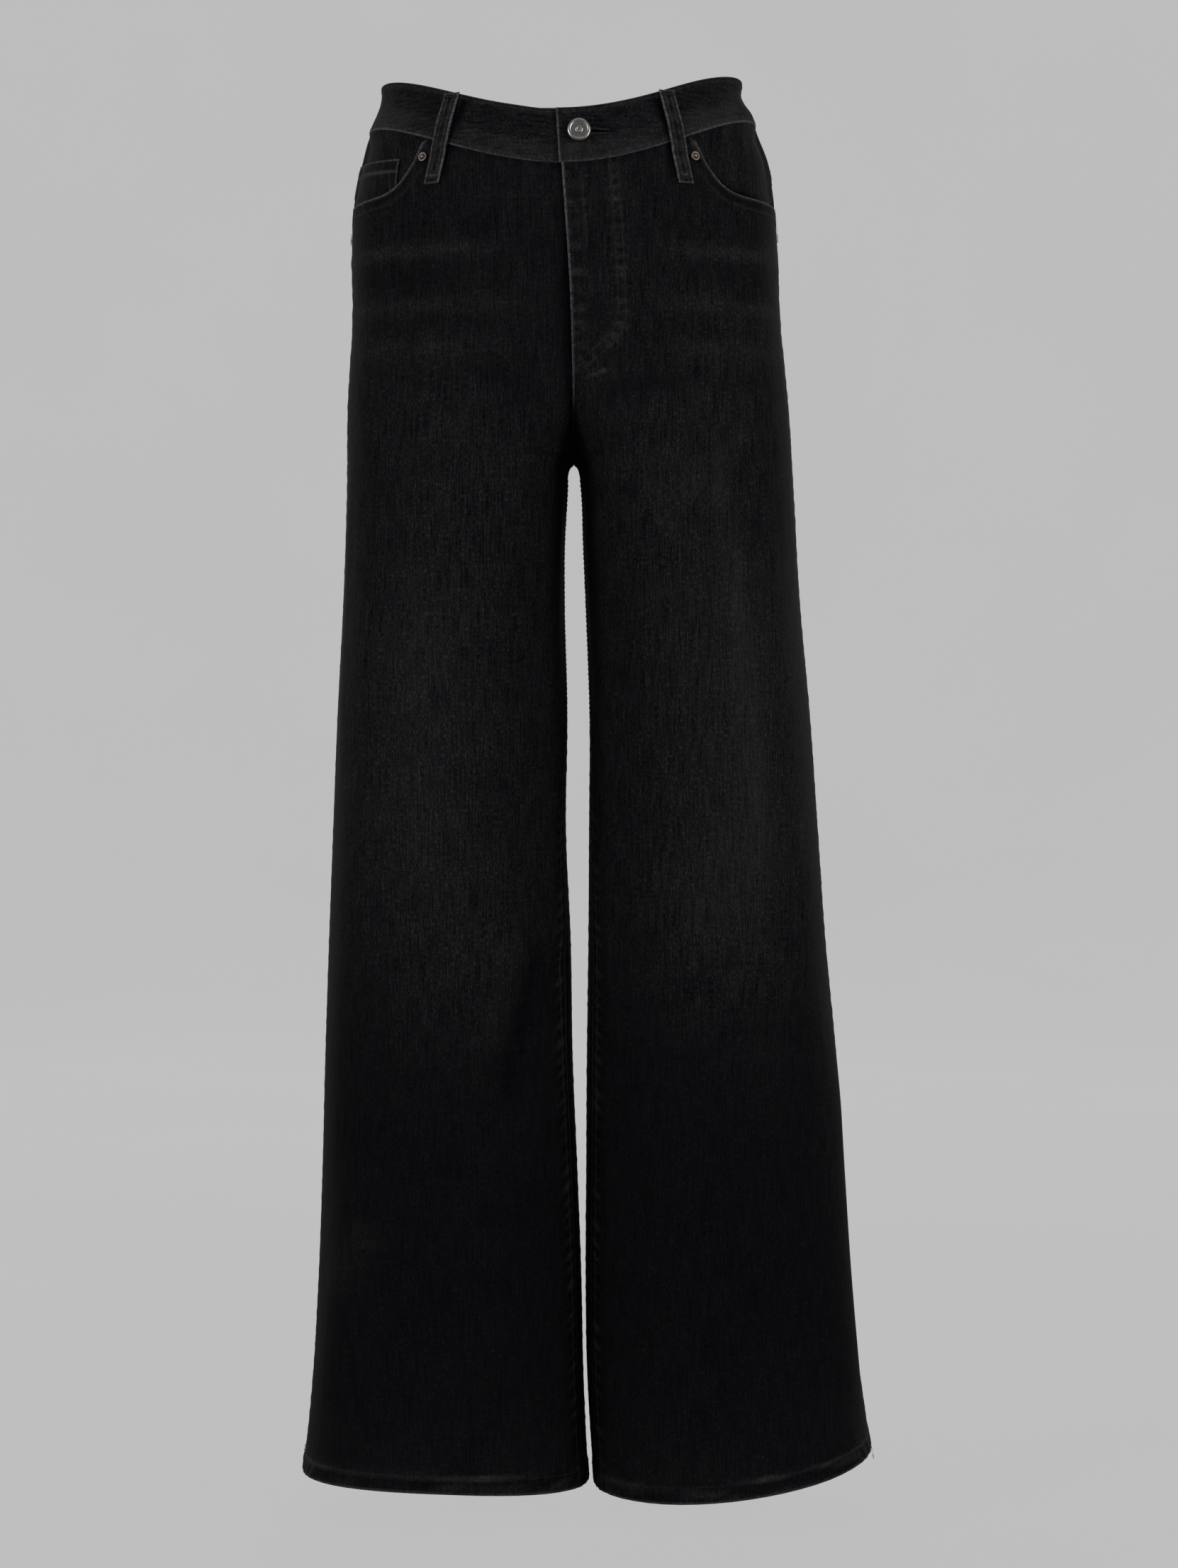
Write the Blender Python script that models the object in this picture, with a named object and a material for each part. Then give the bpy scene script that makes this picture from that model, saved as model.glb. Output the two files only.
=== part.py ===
"""Palazzo jeans in washed black stretch denim: five pockets, a closed fly and wide straight legs.

One garment surface is worked out from horizontal sections: an outline, depths and an inseam, as in short
tables of heights. Each piece that a maker cuts is a closed wall of its own laid on that surface, 0.3 mm
from its neighbours. +X is the wearer's left, -Y the front, +Z up. The origin is the centre of the waist
opening. Places along a section are given by u: 0 at the centre line or inseam, 1 at the outseam.
"""

import math
from functools import lru_cache

import bmesh
import bpy
import numpy as np

# Cloth and gaps, in metres
DENIM = 0.0012
FOLDED_DENIM = 0.0024
POCKETING = 0.0010
ZIP_TAPE = 0.0010
SHIELD = 0.0020
GAP = 0.0003
SETTLE = 0.0003
BAND_GAP = 0.00045
LAYER = DENIM + GAP + SETTLE
BAG_LIFT = -3 * LAYER - SETTLE
BAND_PROUD = 0.0008
ROUNDNESS = 2.2
CROTCH_SHARPNESS = 1.3

# Heights, in metres from the waist opening's centre
CROTCH_Z = -0.2566
HIP_Z = -0.120
ROUND_LEG_Z = -0.450
UPPER_ROWS_Z = -0.115
LOWER_ROWS_Z = -0.930
HEM_DEPTH = 0.0120
FLY_END_Z = -0.1935
YOKE_Z = {"centre": -0.078, "side": -0.050}
WAIST_DIP = 2.4

# Columns of cloth from the centre front, as shares of the way to the rivet, and across a back
FRONT_SHARES = (0.0, 0.13, 0.33, 0.56, 0.79, 1.0)
BACK_COLUMNS = 13

# Front pocket: its corner beside the rivet, and how far its facing hangs below the opening
POCKET_CORNER_X = {"right": 0.1025, "left": 0.0990}
POCKET_CORNER_Z = -0.0415
FACING_BELOW = 0.030

# Button, keyhole and rivets
BUTTON_S = 0.0139
BUTTON_Z = -0.0308
RIVET_X = {"right": 0.0990, "left": 0.0952}
RIVET_Z = -0.0455
RIVET_HOLE_R = 0.0015
BUTTON_SIDES = 18
RIVET_SIDES = 12


def rows(names, *values):
    """A table with one array for each named column."""
    return dict(zip(names.split(), np.array(values, float).T))


# Outer edge of the garment at each height, wearer's right (-X) and left (+X)
OUTLINE = rows(
    "z        right    left",
    (0.0400, -0.1345, 0.1325),
    (0.0220, -0.1340, 0.1325),
    (0.0134, -0.1330, 0.1315),
    (0.0050, -0.1342, 0.1352),
    (-0.0010, -0.1364, 0.1398),
    (-0.0129, -0.1420, 0.1442),
    (-0.0339, -0.1480, 0.1523),
    (-0.0600, -0.1535, 0.1562),
    (-0.1076, -0.1561, 0.1597),
    (-0.1497, -0.1556, 0.1613),
    (-0.2129, -0.1592, 0.1674),
    (-0.2761, -0.1598, 0.1713),
    (-0.3603, -0.1624, 0.1760),
    (-0.4445, -0.1666, 0.1834),
    (-0.5287, -0.1698, 0.1892),
    (-0.6129, -0.1729, 0.1950),
    (-0.6971, -0.1756, 0.2029),
    (-0.7813, -0.1777, 0.2081),
    (-0.8655, -0.1808, 0.2139),
    (-0.9290, -0.1845, 0.2200),
    (-0.9708, -0.1882, 0.2260),
    (-1.0200, -0.1945, 0.2335),
)

# Inner edge of each leg
INSEAM = rows(
    "z          right    left",
    (CROTCH_Z, 0.00825, 0.00855),
    (-0.2640, 0.0056, 0.0118),
    (-0.2761, 0.0036, 0.0141),
    (-0.3182, 0.0013, 0.0158),
    (-0.3603, 0.0012, 0.0176),
    (-0.4445, 0.0036, 0.0202),
    (-0.5287, 0.0026, 0.0197),
    (-0.6129, 0.0062, 0.0192),
    (-0.6971, 0.0076, 0.0181),
    (-0.7813, 0.0111, 0.0176),
    (-0.8655, 0.0142, 0.0172),
    (-0.9290, 0.0155, 0.0182),
    (-0.9708, 0.0172, 0.0204),
    (-1.0200, 0.0200, 0.0240),
)

# Centre line above the crotch: the fly's edge in front, the seat seam behind
CENTRE = rows(
    "z         x",
    (0.0400, -0.0040),
    (-0.0130, -0.0024),
    (-0.0600, 0.0005),
    (-0.1430, 0.0060),
    (-0.2170, 0.0081),
    (CROTCH_Z, 0.0084),
)

# Distance from the side seam's plane to the front and to the back, and that plane's place
DEPTH = rows(
    "z         front   back    plane",
    (0.0400, 0.0880, 0.0985, 0.0000),
    (0.0000, 0.0935, 0.1045, 0.0000),
    (-0.0530, 0.1010, 0.1130, 0.0005),
    (-0.1000, 0.1035, 0.1185, 0.0015),
    (-0.1500, 0.1040, 0.1225, 0.0025),
    (-0.2050, 0.1035, 0.1235, 0.0030),
    (-0.2566, 0.1025, 0.1200, 0.0030),
    (-0.3300, 0.1010, 0.1160, 0.0025),
    (-0.4300, 0.0980, 0.1110, 0.0015),
    (-0.5500, 0.0955, 0.1060, 0.0005),
    (-0.6700, 0.0945, 0.1025, 0.0000),
    (-0.8000, 0.0960, 0.1015, 0.0000),
    (-0.9200, 0.0990, 0.1025, 0.0000),
    (-1.0200, 0.1030, 0.1050, 0.0000),
)

# Waistband's two edges: heights at the centre front, the side seams and the centre back
BAND_EDGE = {
    "seam": {"front": -0.0535, "right": -0.0148, "left": -0.0090, "back": -0.0085},
    "top": {"front": -0.0132, "right": 0.0197, "left": 0.0242, "back": 0.0315},
}

# Bottom edge of each leg at its outseam, front, inseam and back
HEM_EDGE = {
    "right": {"outer": -1.0008, "front": -0.9994, "inner": -1.0090, "back": -1.0010},
    "left": {"outer": -0.9850, "front": -1.0040, "inner": -1.0110, "back": -0.9990},
}

# Front pocket opening: height below the rivet's corner at distances outwards from it
POCKET_CURVE = rows(
    "out      down",
    (0.0000, 0.0000),
    (0.0050, 0.0090),
    (0.0110, 0.0205),
    (0.0170, 0.0260),
    (0.0270, 0.0285),
    (0.0400, 0.0290),
)

# Soft folds: place across (u) and along (z) at both ends, half width and height of the swell
FOLD_NAMES = "side half u_top u_low z_top z_low width height"
FOLDS = [
    dict(zip(FOLD_NAMES.split(), values))
    for values in (
        ("left", "front", 0.70, 0.66, -0.30, -0.60, 0.12, 0.0030),
        ("left", "front", 0.36, 0.32, -0.34, -0.96, 0.12, -0.0022),
        ("left", "front", 0.90, 0.88, -0.66, -0.98, 0.08, 0.0030),
        ("left", "front", 0.56, 0.60, -0.80, -1.02, 0.10, -0.0024),
        ("right", "front", 0.18, 0.30, -0.60, -0.74, 0.08, -0.0032),
        ("right", "front", 0.32, 0.40, -0.58, -0.80, 0.09, 0.0022),
        ("right", "front", 0.72, 0.80, -0.76, -0.95, 0.08, 0.0028),
        ("right", "front", 0.60, 0.58, -0.34, -0.60, 0.12, 0.0020),
        ("left", "back", 0.40, 0.46, -0.26, -0.52, 0.10, -0.0035),
        ("left", "back", 0.62, 0.58, -0.50, -0.98, 0.11, 0.0035),
        ("right", "back", 0.44, 0.40, -0.26, -0.60, 0.10, -0.0032),
        ("right", "back", 0.66, 0.70, -0.46, -0.98, 0.11, 0.0032),
    )
]

SIDES = ("right", "left")
SIGN = {"right": -1, "left": 1}

# Colour, roughness and metallic value of each material
MATERIALS = {
    "denim": ((0.012, 0.012, 0.014), 0.85, 0.0),
    "pocketing": ((0.060, 0.060, 0.064), 0.9, 0.0),
    "zip_tape": ((0.010, 0.010, 0.012), 0.8, 0.0),
    "button_metal": ((0.36, 0.35, 0.34), 0.35, 1.0),
    "rivet_metal": ((0.30, 0.26, 0.22), 0.40, 1.0),
}


def clear_scene():
    """Start from an empty scene."""
    for thing in list(bpy.data.objects):
        bpy.data.objects.remove(thing, do_unlink=True)


@lru_cache(maxsize=None)
def material(name):
    """The Principled material of one slot."""
    colour, roughness, metallic = MATERIALS[name]
    made = bpy.data.materials.new(name)
    made.use_nodes = True
    shader = made.node_tree.nodes["Principled BSDF"]
    shader.inputs["Base Color"].default_value = (*colour, 1.0)
    shader.inputs["Roughness"].default_value = roughness
    shader.inputs["Metallic"].default_value = metallic
    made.diffuse_color = (*colour, 1.0)
    return made


def smooth(table, column, z):
    """A column's value at height z: a cubic through the rows, straight beyond both ends."""
    heights, values = table["z"][::-1], table[column][::-1]
    slopes = np.gradient(values, heights)
    low = int(np.clip(np.searchsorted(heights, z) - 1, 0, len(heights) - 2))
    span = heights[low + 1] - heights[low]
    t = (z - heights[low]) / span
    if t < 0:
        return values[low] + slopes[low] * (z - heights[low])
    if t > 1:
        return values[low + 1] + slopes[low + 1] * (z - heights[low + 1])
    start = (1 + 2 * t) * (1 - t) ** 2 * values[low] + t * (1 - t) ** 2 * span * slopes[low]
    end = t * t * (3 - 2 * t) * values[low + 1] + t * t * (t - 1) * span * slopes[low + 1]
    return start + end


def ease(t):
    """0 to 1 with a soft start and end."""
    t = min(1.0, max(0.0, t))
    return t * t * (3 - 2 * t)


def section(side, half, z):
    """One horizontal section from the inner edge to the outseam: X, Y and distance along it."""
    return level_section(side, half, round(float(z), 6))


@lru_cache(maxsize=None)
def level_section(side, half, z):
    """The section at a height in whole micrometres."""
    outer = smooth(OUTLINE, side, z)
    rise = min(1.0, (z - CROTCH_Z) / (HIP_Z - CROTCH_Z))
    if rise > 0:
        inner = smooth(CENTRE, "x", z) + SIGN[side] * GAP / 2
    else:
        inner = smooth(INSEAM, side, z)
    merged = ease((z - ROUND_LEG_Z) / (HIP_Z - ROUND_LEG_Z))
    centre = inner + (outer - inner) / 2 * (1 - merged)
    outer_radius, inner_radius = outer - centre, centre - inner
    start = 0.0
    if rise > 0:
        inner_radius += (outer_radius - inner_radius) * rise ** CROTCH_SHARPNESS
        start = math.acos(min(1.0, (centre - inner) / inner_radius) ** (ROUNDNESS / 2))
    angles = np.linspace(start, math.pi, 141)
    power = 2 / ROUNDNESS
    across = np.sign(np.cos(angles)) * np.abs(np.cos(angles)) ** power
    deep = np.clip(np.sin(angles), 0, 1) ** power
    depth = smooth(DEPTH, half, z) * (-1 if half == "front" else 1)
    x = centre - np.where(across > 0, inner_radius, outer_radius) * across
    y = smooth(DEPTH, "plane", z) + depth * deep
    steps = np.hypot(np.diff(x), np.diff(y))
    along = np.concatenate([[0.0], np.cumsum(steps)])
    return x, y, along


def length(side, half, z):
    """Length of a section from its inner edge to the outseam."""
    return section(side, half, z)[2][-1]


def u_at_x(side, half, x, z):
    """Place across a section where it has the given X."""
    xs, _, along = section(side, half, z)
    order = slice(None) if side == "left" else slice(None, None, -1)
    return float(np.interp(x, xs[order], along[order])) / along[-1]


def fold_height(side, half, u, z):
    """How far the soft folds lift the cloth at one place."""
    height = 0.0
    for fold in FOLDS:
        if (fold["side"], fold["half"]) != (side, half):
            continue
        t = (fold["z_top"] - z) / (fold["z_top"] - fold["z_low"])
        if not 0 < t < 1:
            continue
        middle = fold["u_top"] + (fold["u_low"] - fold["u_top"]) * t
        across = (u - middle) / fold["width"]
        height += fold["height"] * math.exp(-across * across) * ease(t * 4) * ease((1 - t) * 4)
    return height * ease(u * 8) * ease((1 - u) * 8)


def bare_point(side, half, u, z):
    """A point of the surface before its folds."""
    xs, ys, along = section(side, half, z)
    s = GAP / 2 + u * (along[-1] - GAP)
    return np.array([np.interp(s, along, xs), np.interp(s, along, ys), z])


def normal(side, half, u, z):
    """The surface's outward direction."""
    du, dz = 0.01, 0.002
    u_low, u_high = max(0.0, u - du), min(1.0, u + du)
    z_low = z - dz
    if z_low < CROTCH_Z < z + dz:
        z_low = z
    across = bare_point(side, half, u_high, z) - bare_point(side, half, u_low, z)
    upward = bare_point(side, half, u, z + dz) - bare_point(side, half, u, z_low)
    out = np.cross(across, upward)
    if (side == "right") != (half == "back"):
        out = -out
    return out / np.linalg.norm(out)


def point(side, half, u, z, lift=0.0):
    """A point of the draped surface, moved out by a lift."""
    height = fold_height(side, half, u, z) + lift
    return bare_point(side, half, u, z) + normal(side, half, u, z) * height


def band_height(edge, side, half, u):
    """Height of the waistband's seam or top edge."""
    heights = BAND_EDGE[edge]
    turn = math.cos(u * math.pi / 2)
    power = WAIST_DIP if half == "front" else 1.5
    return heights[side] + (heights[half] - heights[side]) * turn ** power


def hem_height(side, half, u):
    """Height of the leg's bottom edge."""
    edge = HEM_EDGE[side]
    level = edge["outer"] + (edge["inner"] - edge["outer"]) * (1 + math.cos(math.pi * u)) / 2
    bow = edge[half] - (edge["outer"] + edge["inner"]) / 2
    return level + bow * math.sin(math.pi * u) ** 2


def pocket_height(side, u):
    """Height of the front pocket's opening; level with its corner nearer the centre."""
    x = bare_point(side, "front", u, POCKET_CORNER_Z)[0] * SIGN[side]
    down = np.interp(x - POCKET_CORNER_X[side], POCKET_CURVE["out"], POCKET_CURVE["down"])
    return POCKET_CORNER_Z - float(down)


def yoke_height(u):
    """Height of the yoke's seam on the back."""
    return YOKE_Z["centre"] + (YOKE_Z["side"] - YOKE_Z["centre"]) * u


def cell_edges(r, c):
    """Each edge of a grid's cell, as its two ends and the cell on its other side."""
    return (
        ((r, c), (r, c + 1), (r - 1, c)),
        ((r, c + 1), (r + 1, c + 1), (r, c + 1)),
        ((r + 1, c + 1), (r + 1, c), (r + 1, c)),
        ((r + 1, c), (r, c), (r, c - 1)),
    )


def build_wall(name, outer, inner, slot, holes=()):
    """A closed body between two grids of points; a hole is a (row, column) cell left out."""
    cells = {(r, c) for r in range(len(outer) - 1) for c in range(len(outer[0]) - 1)} - set(holes)
    grids = {"outer": outer, "inner": inner}
    mesh = bmesh.new()
    made = {}

    def vertex(face, place):
        if (face, place) not in made:
            made[face, place] = mesh.verts.new(grids[face][place[0]][place[1]])
        return made[face, place]

    for r, c in sorted(cells):
        ring = ((r, c), (r, c + 1), (r + 1, c + 1), (r + 1, c))
        mesh.faces.new([vertex("outer", place) for place in ring])
        mesh.faces.new([vertex("inner", place) for place in reversed(ring)])
        for start, end, neighbour in cell_edges(r, c):
            if neighbour not in cells:
                corners = (("outer", end), ("outer", start), ("inner", start), ("inner", end))
                mesh.faces.new([vertex(*corner) for corner in corners])
    return finish_mesh(name, mesh, slot)


def finish_mesh(name, mesh, slot):
    """Turn a bmesh into a named object whose faces point out."""
    bmesh.ops.recalc_face_normals(mesh, faces=mesh.faces)
    data = bpy.data.meshes.new(name)
    mesh.to_mesh(data)
    mesh.free()
    data.materials.append(material(slot))
    data.shade_smooth()
    data.set_sharp_from_angle(angle=math.radians(40))
    made = bpy.data.objects.new(name, data)
    bpy.context.scene.collection.objects.link(made)
    return made


def build_sheet(name, side, half, columns, heights_at, outer, thick, slot="denim"):
    """A wall on the surface: columns of u, each with its own heights; thick is one value or one a row."""
    heights = [heights_at(u) for u in columns]
    row_count = len(heights[0])
    thicks = [thick] * row_count if isinstance(thick, float) else thick
    outside = []
    inside = []
    for r in range(row_count):
        places = [(u, heights[c][r]) for c, u in enumerate(columns)]
        outside.append([point(side, half, u, z, outer) for u, z in places])
        inside.append([point(side, half, u, z, outer - thicks[r]) for u, z in places])
    return build_wall(name, outside, inside, slot)


def between(start, end, count):
    """Evenly spaced values with both ends."""
    return [start + (end - start) * k / (count - 1) for k in range(count)]


def leg_heights():
    """Heights of a leg panel's level rows: close together where the crotch curves."""
    steps = 6
    above = [CROTCH_Z + (UPPER_ROWS_Z - CROTCH_Z) * (k / steps) ** 2 for k in range(steps, 0, -1)]
    below = [CROTCH_Z - drop for drop in (0.0, 0.010, 0.028, 0.062, 0.11)]
    return above + below + between(below[-1] - 0.08, LOWER_ROWS_Z, 7)


def panel_rows(top, side, half, u):
    """Heights of one column of a leg panel, from its top edge to its hem."""
    bottom = hem_height(side, half, u)
    upper = between(top - BAND_GAP, UPPER_ROWS_Z, 4)[:-1]
    lower = between(LOWER_ROWS_Z, bottom + HEM_DEPTH, 3)[1:]
    return upper + leg_heights() + lower + [bottom]


def panel_thickness(row_count):
    """One layer of denim, folded double below the hem's stitching."""
    return [DENIM] * (row_count - 2) + [FOLDED_DENIM] * 2


def pocket_columns(side):
    """Columns of the front: to the rivet, at each point of the pocket's curve, then to the seam."""
    rivet = u_at_x(side, "front", RIVET_X[side] * SIGN[side], RIVET_Z)
    xs = [(POCKET_CORNER_X[side] + out) * SIGN[side] for out in POCKET_CURVE["out"]]
    on_curve = [u_at_x(side, "front", x, POCKET_CORNER_Z) for x in xs]
    return [rivet * share for share in FRONT_SHARES] + on_curve + between(on_curve[-1], 1.0, 4)[1:]


def build_front(side):
    """One front: waist seam, pocket opening, outseam, hem, inseam and its half of the front rise."""
    corner = pocket_columns(side)[len(FRONT_SHARES)]

    def heights(u):
        seam = band_height("seam", side, "front", u)
        top = min(seam, pocket_height(side, u)) if u >= corner - 1e-6 else seam
        return panel_rows(top, side, "front", u)

    columns = pocket_columns(side)
    thick = panel_thickness(len(heights(0.0)))
    return build_sheet(f"front_{side}", side, "front", columns, heights, 0.0, thick)


BACK_U = between(0.0, 1.0, BACK_COLUMNS)


def build_back(side):
    """One back, below the yoke."""
    def heights(u):
        return panel_rows(yoke_height(u), side, "back", u)

    thick = panel_thickness(len(heights(0.0)))
    return build_sheet(f"back_{side}", side, "back", BACK_U, heights, 0.0, thick)


def build_yoke(side):
    """One half of the back yoke, between the waistband and the back."""
    def heights(u):
        return between(band_height("seam", side, "back", u) - BAND_GAP, yoke_height(u), 4)

    return build_sheet(f"yoke_{side}", side, "back", BACK_U, heights, 0.0, DENIM)


def build_pocket_facing(side):
    """Denim facing that shows in the front pocket's opening."""
    def heights(u):
        top = band_height("seam", side, "front", u) - BAND_GAP
        return between(top, pocket_height(side, u) - FACING_BELOW, 5)

    columns = pocket_columns(side)[len(FRONT_SHARES) - 2:]
    return build_sheet(f"pocket_facing_{side}", side, "front", columns, heights, -2 * LAYER, DENIM)


def build_pocket_bag(side):
    """Front pocket bag, both layers pressed together, behind the facing."""
    columns = pocket_columns(side)[len(FRONT_SHARES) - 3:]

    def heights(u):
        t = (u - columns[0]) / (1 - columns[0])
        top = band_height("seam", side, "front", u) - BAND_GAP
        return between(top, -0.165 - 0.060 * math.sin(math.pi * (0.15 + 0.75 * t)), 6)

    return build_sheet(
        f"pocket_bag_{side}", side, "front", columns, heights, BAG_LIFT, POCKETING, "pocketing"
    )


def build_coin_pocket():
    """Small pocket on the wearer's right facing."""
    inner = u_at_x("right", "front", -0.1185, -0.045)
    columns = [inner] + [u for u in pocket_columns("right") if u > inner + 0.02]

    def heights(u):
        top = -0.0435 + 0.0065 * (u - inner) / (1 - inner)
        return between(top, -0.094, 4)

    return build_sheet("coin_pocket", "right", "front", columns, heights, -LAYER, DENIM)


def build_back_pocket(side):
    """Patch pocket on the back: five-sided, a little narrower at its pointed foot."""
    top_z, low_z, point_drop = -0.098, -0.226, 0.020
    top_u, low_u = (0.125, 0.715), (0.180, 0.690)
    inner_columns = [u for u in BACK_U if low_u[0] < u < low_u[1]]
    levels = [z for z in leg_heights() if CROTCH_Z + 0.01 < z < top_z - 0.01]

    def grid(lift):
        lines = []
        for u in [None, *inner_columns, None]:
            reach = 0.0 if u is None else 1 - abs(2 * u - sum(low_u)) / (low_u[1] - low_u[0])
            foot = low_z - point_drop * reach
            heights = [max(z, foot + 0.004 * (len(levels) - k)) for k, z in enumerate(levels)]
            lines.append([top_z, *heights, foot])
        made = []
        for r in range(len(lines[0])):
            v = (top_z - lines[0][r]) / (top_z - low_z)
            first, last = (a + (b - a) * v for a, b in zip(top_u, low_u))
            places = zip([first, *inner_columns, last], [line[r] for line in lines])
            made.append([point(side, "back", u, z, lift) for u, z in places])
        return made

    clear = GAP + 3 * SETTLE
    return build_wall(f"back_pocket_{side}", grid(clear + DENIM), grid(clear), "denim")


def across_centre(half, s, z, lift):
    """A point at distance s from the centre seam, left of it when positive."""
    side = "left" if s >= 0 else "right"
    u = abs(s) / length(side, half, z)
    if abs(s) > 0.001:
        return point(side, half, u, z, lift)
    middle = (bare_point("left", half, 0.0, z) + bare_point("right", half, 0.0, z)) / 2
    facing = normal("left", half, 0.0, z) + normal("right", half, 0.0, z)
    return middle + facing / np.linalg.norm(facing) * lift


def build_strip(name, half, columns, heights_at, outer, thick, slot="denim"):
    """A wall across the centre line: columns are distances from it."""
    heights = [heights_at(s) for s in columns]
    grids = []
    for lift in (outer, outer - thick):
        grid = []
        for r in range(len(heights[0])):
            grid.append([across_centre(half, s, heights[c][r], lift) for c, s in enumerate(columns)])
        grids.append(grid)
    return build_wall(name, *grids, slot)


def seam_below_band(s):
    """Height just under the waistband at a distance from the centre front."""
    side = "left" if s >= 0 else "right"
    return band_height("seam", side, "front", abs(s) / length(side, "front", -0.05)) - BAND_GAP


def build_fly_facing():
    """J-shaped facing behind the wearer's left front, on the front's own columns and rows."""
    width, curve_height = 0.043, 0.060
    side, half = "left", "front"
    edge = width / length(side, half, -0.12)
    columns = [0.012] + [u for u in pocket_columns(side)[1:] if u < edge - 0.02] + [edge]

    def heights(u):
        foot = FLY_END_Z + curve_height * (u / edge) ** 3
        top = band_height("seam", side, half, u) - BAND_GAP
        levels = between(top, UPPER_ROWS_Z, 4) + [z for z in leg_heights()[1:] if z > FLY_END_Z + 0.01]
        return [max(z, foot + 0.004 * (len(levels) - k)) for k, z in enumerate(levels)] + [foot]

    build_sheet("fly_facing", side, half, columns, heights, -LAYER, DENIM)


def build_fly():
    """Behind the fly's facing: the zip's tape and the fly shield, both across the centre line."""
    tape_half = 0.012

    def tape_heights(s):
        return between(seam_below_band(s), FLY_END_Z + 0.014, 7)

    def shield_heights(s):
        return between(seam_below_band(s), FLY_END_Z, 7)

    tape_columns = [-tape_half, -0.004, 0.0, 0.004, tape_half]
    shield_columns = [-0.012, -0.005, 0.0, 0.005, 0.016, 0.026, 0.036]
    tape_lift = -2 * LAYER - SETTLE
    shield_lift = tape_lift - ZIP_TAPE - GAP - SETTLE
    build_strip("zip_tape", "front", tape_columns, tape_heights, tape_lift, ZIP_TAPE, "zip_tape")
    build_strip("fly_shield", "front", shield_columns, shield_heights, shield_lift, SHIELD)


# The waistband's lap: distances from the centre front, with the keyhole's half height in the outer end
# and the nail hole's in the inner end
LAP = rows(
    "s       keyhole nail",
    (0.0090, 0.0010, 0.0010),
    (0.0112, 0.0034, 0.0014),
    (0.0119, 0.0036, 0.0020),
    (0.0159, 0.0036, 0.0020),
    (0.0180, 0.0020, 0.0014),
    (0.0270, 0.0011, 0.0010),
    (0.0345, 0.0006, 0.0010),
)
NAIL_COLUMN = 2
UNDER_END_S = 0.040
OVER_END_S = 0.0016
BAND_SHARES = (0.0, 0.42, 0.64, 1.0)


def ring_place(t):
    """Side, half and u of a place round the waist: 0 and 4 at the centre front, 2 at the centre back."""
    if t < 0:
        return "left", "front", -t
    if t < 1:
        return "right", "front", t
    if t < 2:
        return "right", "back", 2 - t
    if t < 3:
        return "left", "back", t - 2
    if t < 4:
        return "left", "front", 4 - t
    return "right", "front", t - 4


def band_sink(s):
    """How far the waistband's inner end lies behind the outer end, s to the right of the centre front."""
    clear_of_edge, run = 0.006, 0.030
    return (FOLDED_DENIM + GAP) * (1 - ease((s - clear_of_edge) / run))


def band_column(t, quarter):
    """Heights of one column of the waistband: its edges, and two lines that open at the holes."""
    side, half, u = ring_place(t)
    low, high = band_height("seam", side, half, u), band_height("top", side, half, u)
    s = u * quarter
    if (side, half) != ("left", "front") or s > LAP["s"][-1] + 0.001:
        return [low + (high - low) * share for share in BAND_SHARES]
    opening = float(np.interp(s, LAP["s"], LAP["nail" if t < 0 else "keyhole"]))
    return [low, BUTTON_Z - opening, BUTTON_Z + opening, high]


def build_waistband():
    """Waistband, one folded strip: its outer end, with a keyhole, laps over its inner end at the fly."""
    quarter = length("left", "front", BUTTON_Z)
    lap = [s / quarter for s in reversed(LAP["s"])]
    under_end = [-UNDER_END_S / quarter] + [-u for u in lap] + [0.0]
    round_waist = [t for t in between(0.0, 4.0, 53) if 0.02 < t < 3.8]
    over_end = [4 - u for u in lap] + [4.0, 4.0 + OVER_END_S / quarter]
    outside, inside = [], []
    for t in under_end + round_waist + over_end:
        lift = BAND_PROUD - (band_sink(t * quarter) if t < 1 else 0.0)
        heights = band_column(t, quarter)
        outside.append([point(*ring_place(t), z, lift) for z in heights])
        inside.append([point(*ring_place(t), z, lift - FOLDED_DENIM) for z in heights])
    nail_hole = (len(LAP["s"]) - NAIL_COLUMN - 1, 1)
    first_over = len(under_end) + len(round_waist)
    keyhole = [(first_over + k, 1) for k in range(len(lap) - 1)]
    return build_wall("waistband", outside, inside, "denim", [nail_hole, *keyhole])


# Belt loops: side and half they lie on, X at the top and at the foot, and the foot's height
LOOP_NAMES = "name side half x_top x_foot z_foot"
LOOPS = [
    dict(zip(LOOP_NAMES.split(), values))
    for values in (
        ("belt_loop_front_right", "right", "front", -0.0774, -0.0928, -0.0659),
        ("belt_loop_front_left", "left", "front", 0.0742, 0.0888, -0.0659),
        ("belt_loop_back_right", "right", "back", -0.0790, -0.0800, -0.0370),
        ("belt_loop_back_left", "left", "back", 0.0800, 0.0810, -0.0370),
    )
]
CENTRE_LOOP_FOOT_Z = -0.0340
LOOP_TOP_DROP = 0.0012
LOOP_WIDTH = 0.0115
LOOP_THICK = 0.0018
LOOP_RISE = 0.0016
LOOP_ROWS = 11


def loop_lift(v, seam_v):
    """Outer face of a loop at share v of its length: it stands off the waistband and lies on the panel."""
    on_panel = GAP + LOOP_THICK
    base = on_panel + BAND_PROUD * (1 - ease((v - seam_v - 0.04) / 0.12))
    return base + LOOP_RISE * math.sin(math.pi * min(1.0, v / (seam_v + 0.18))) ** 2


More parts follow.
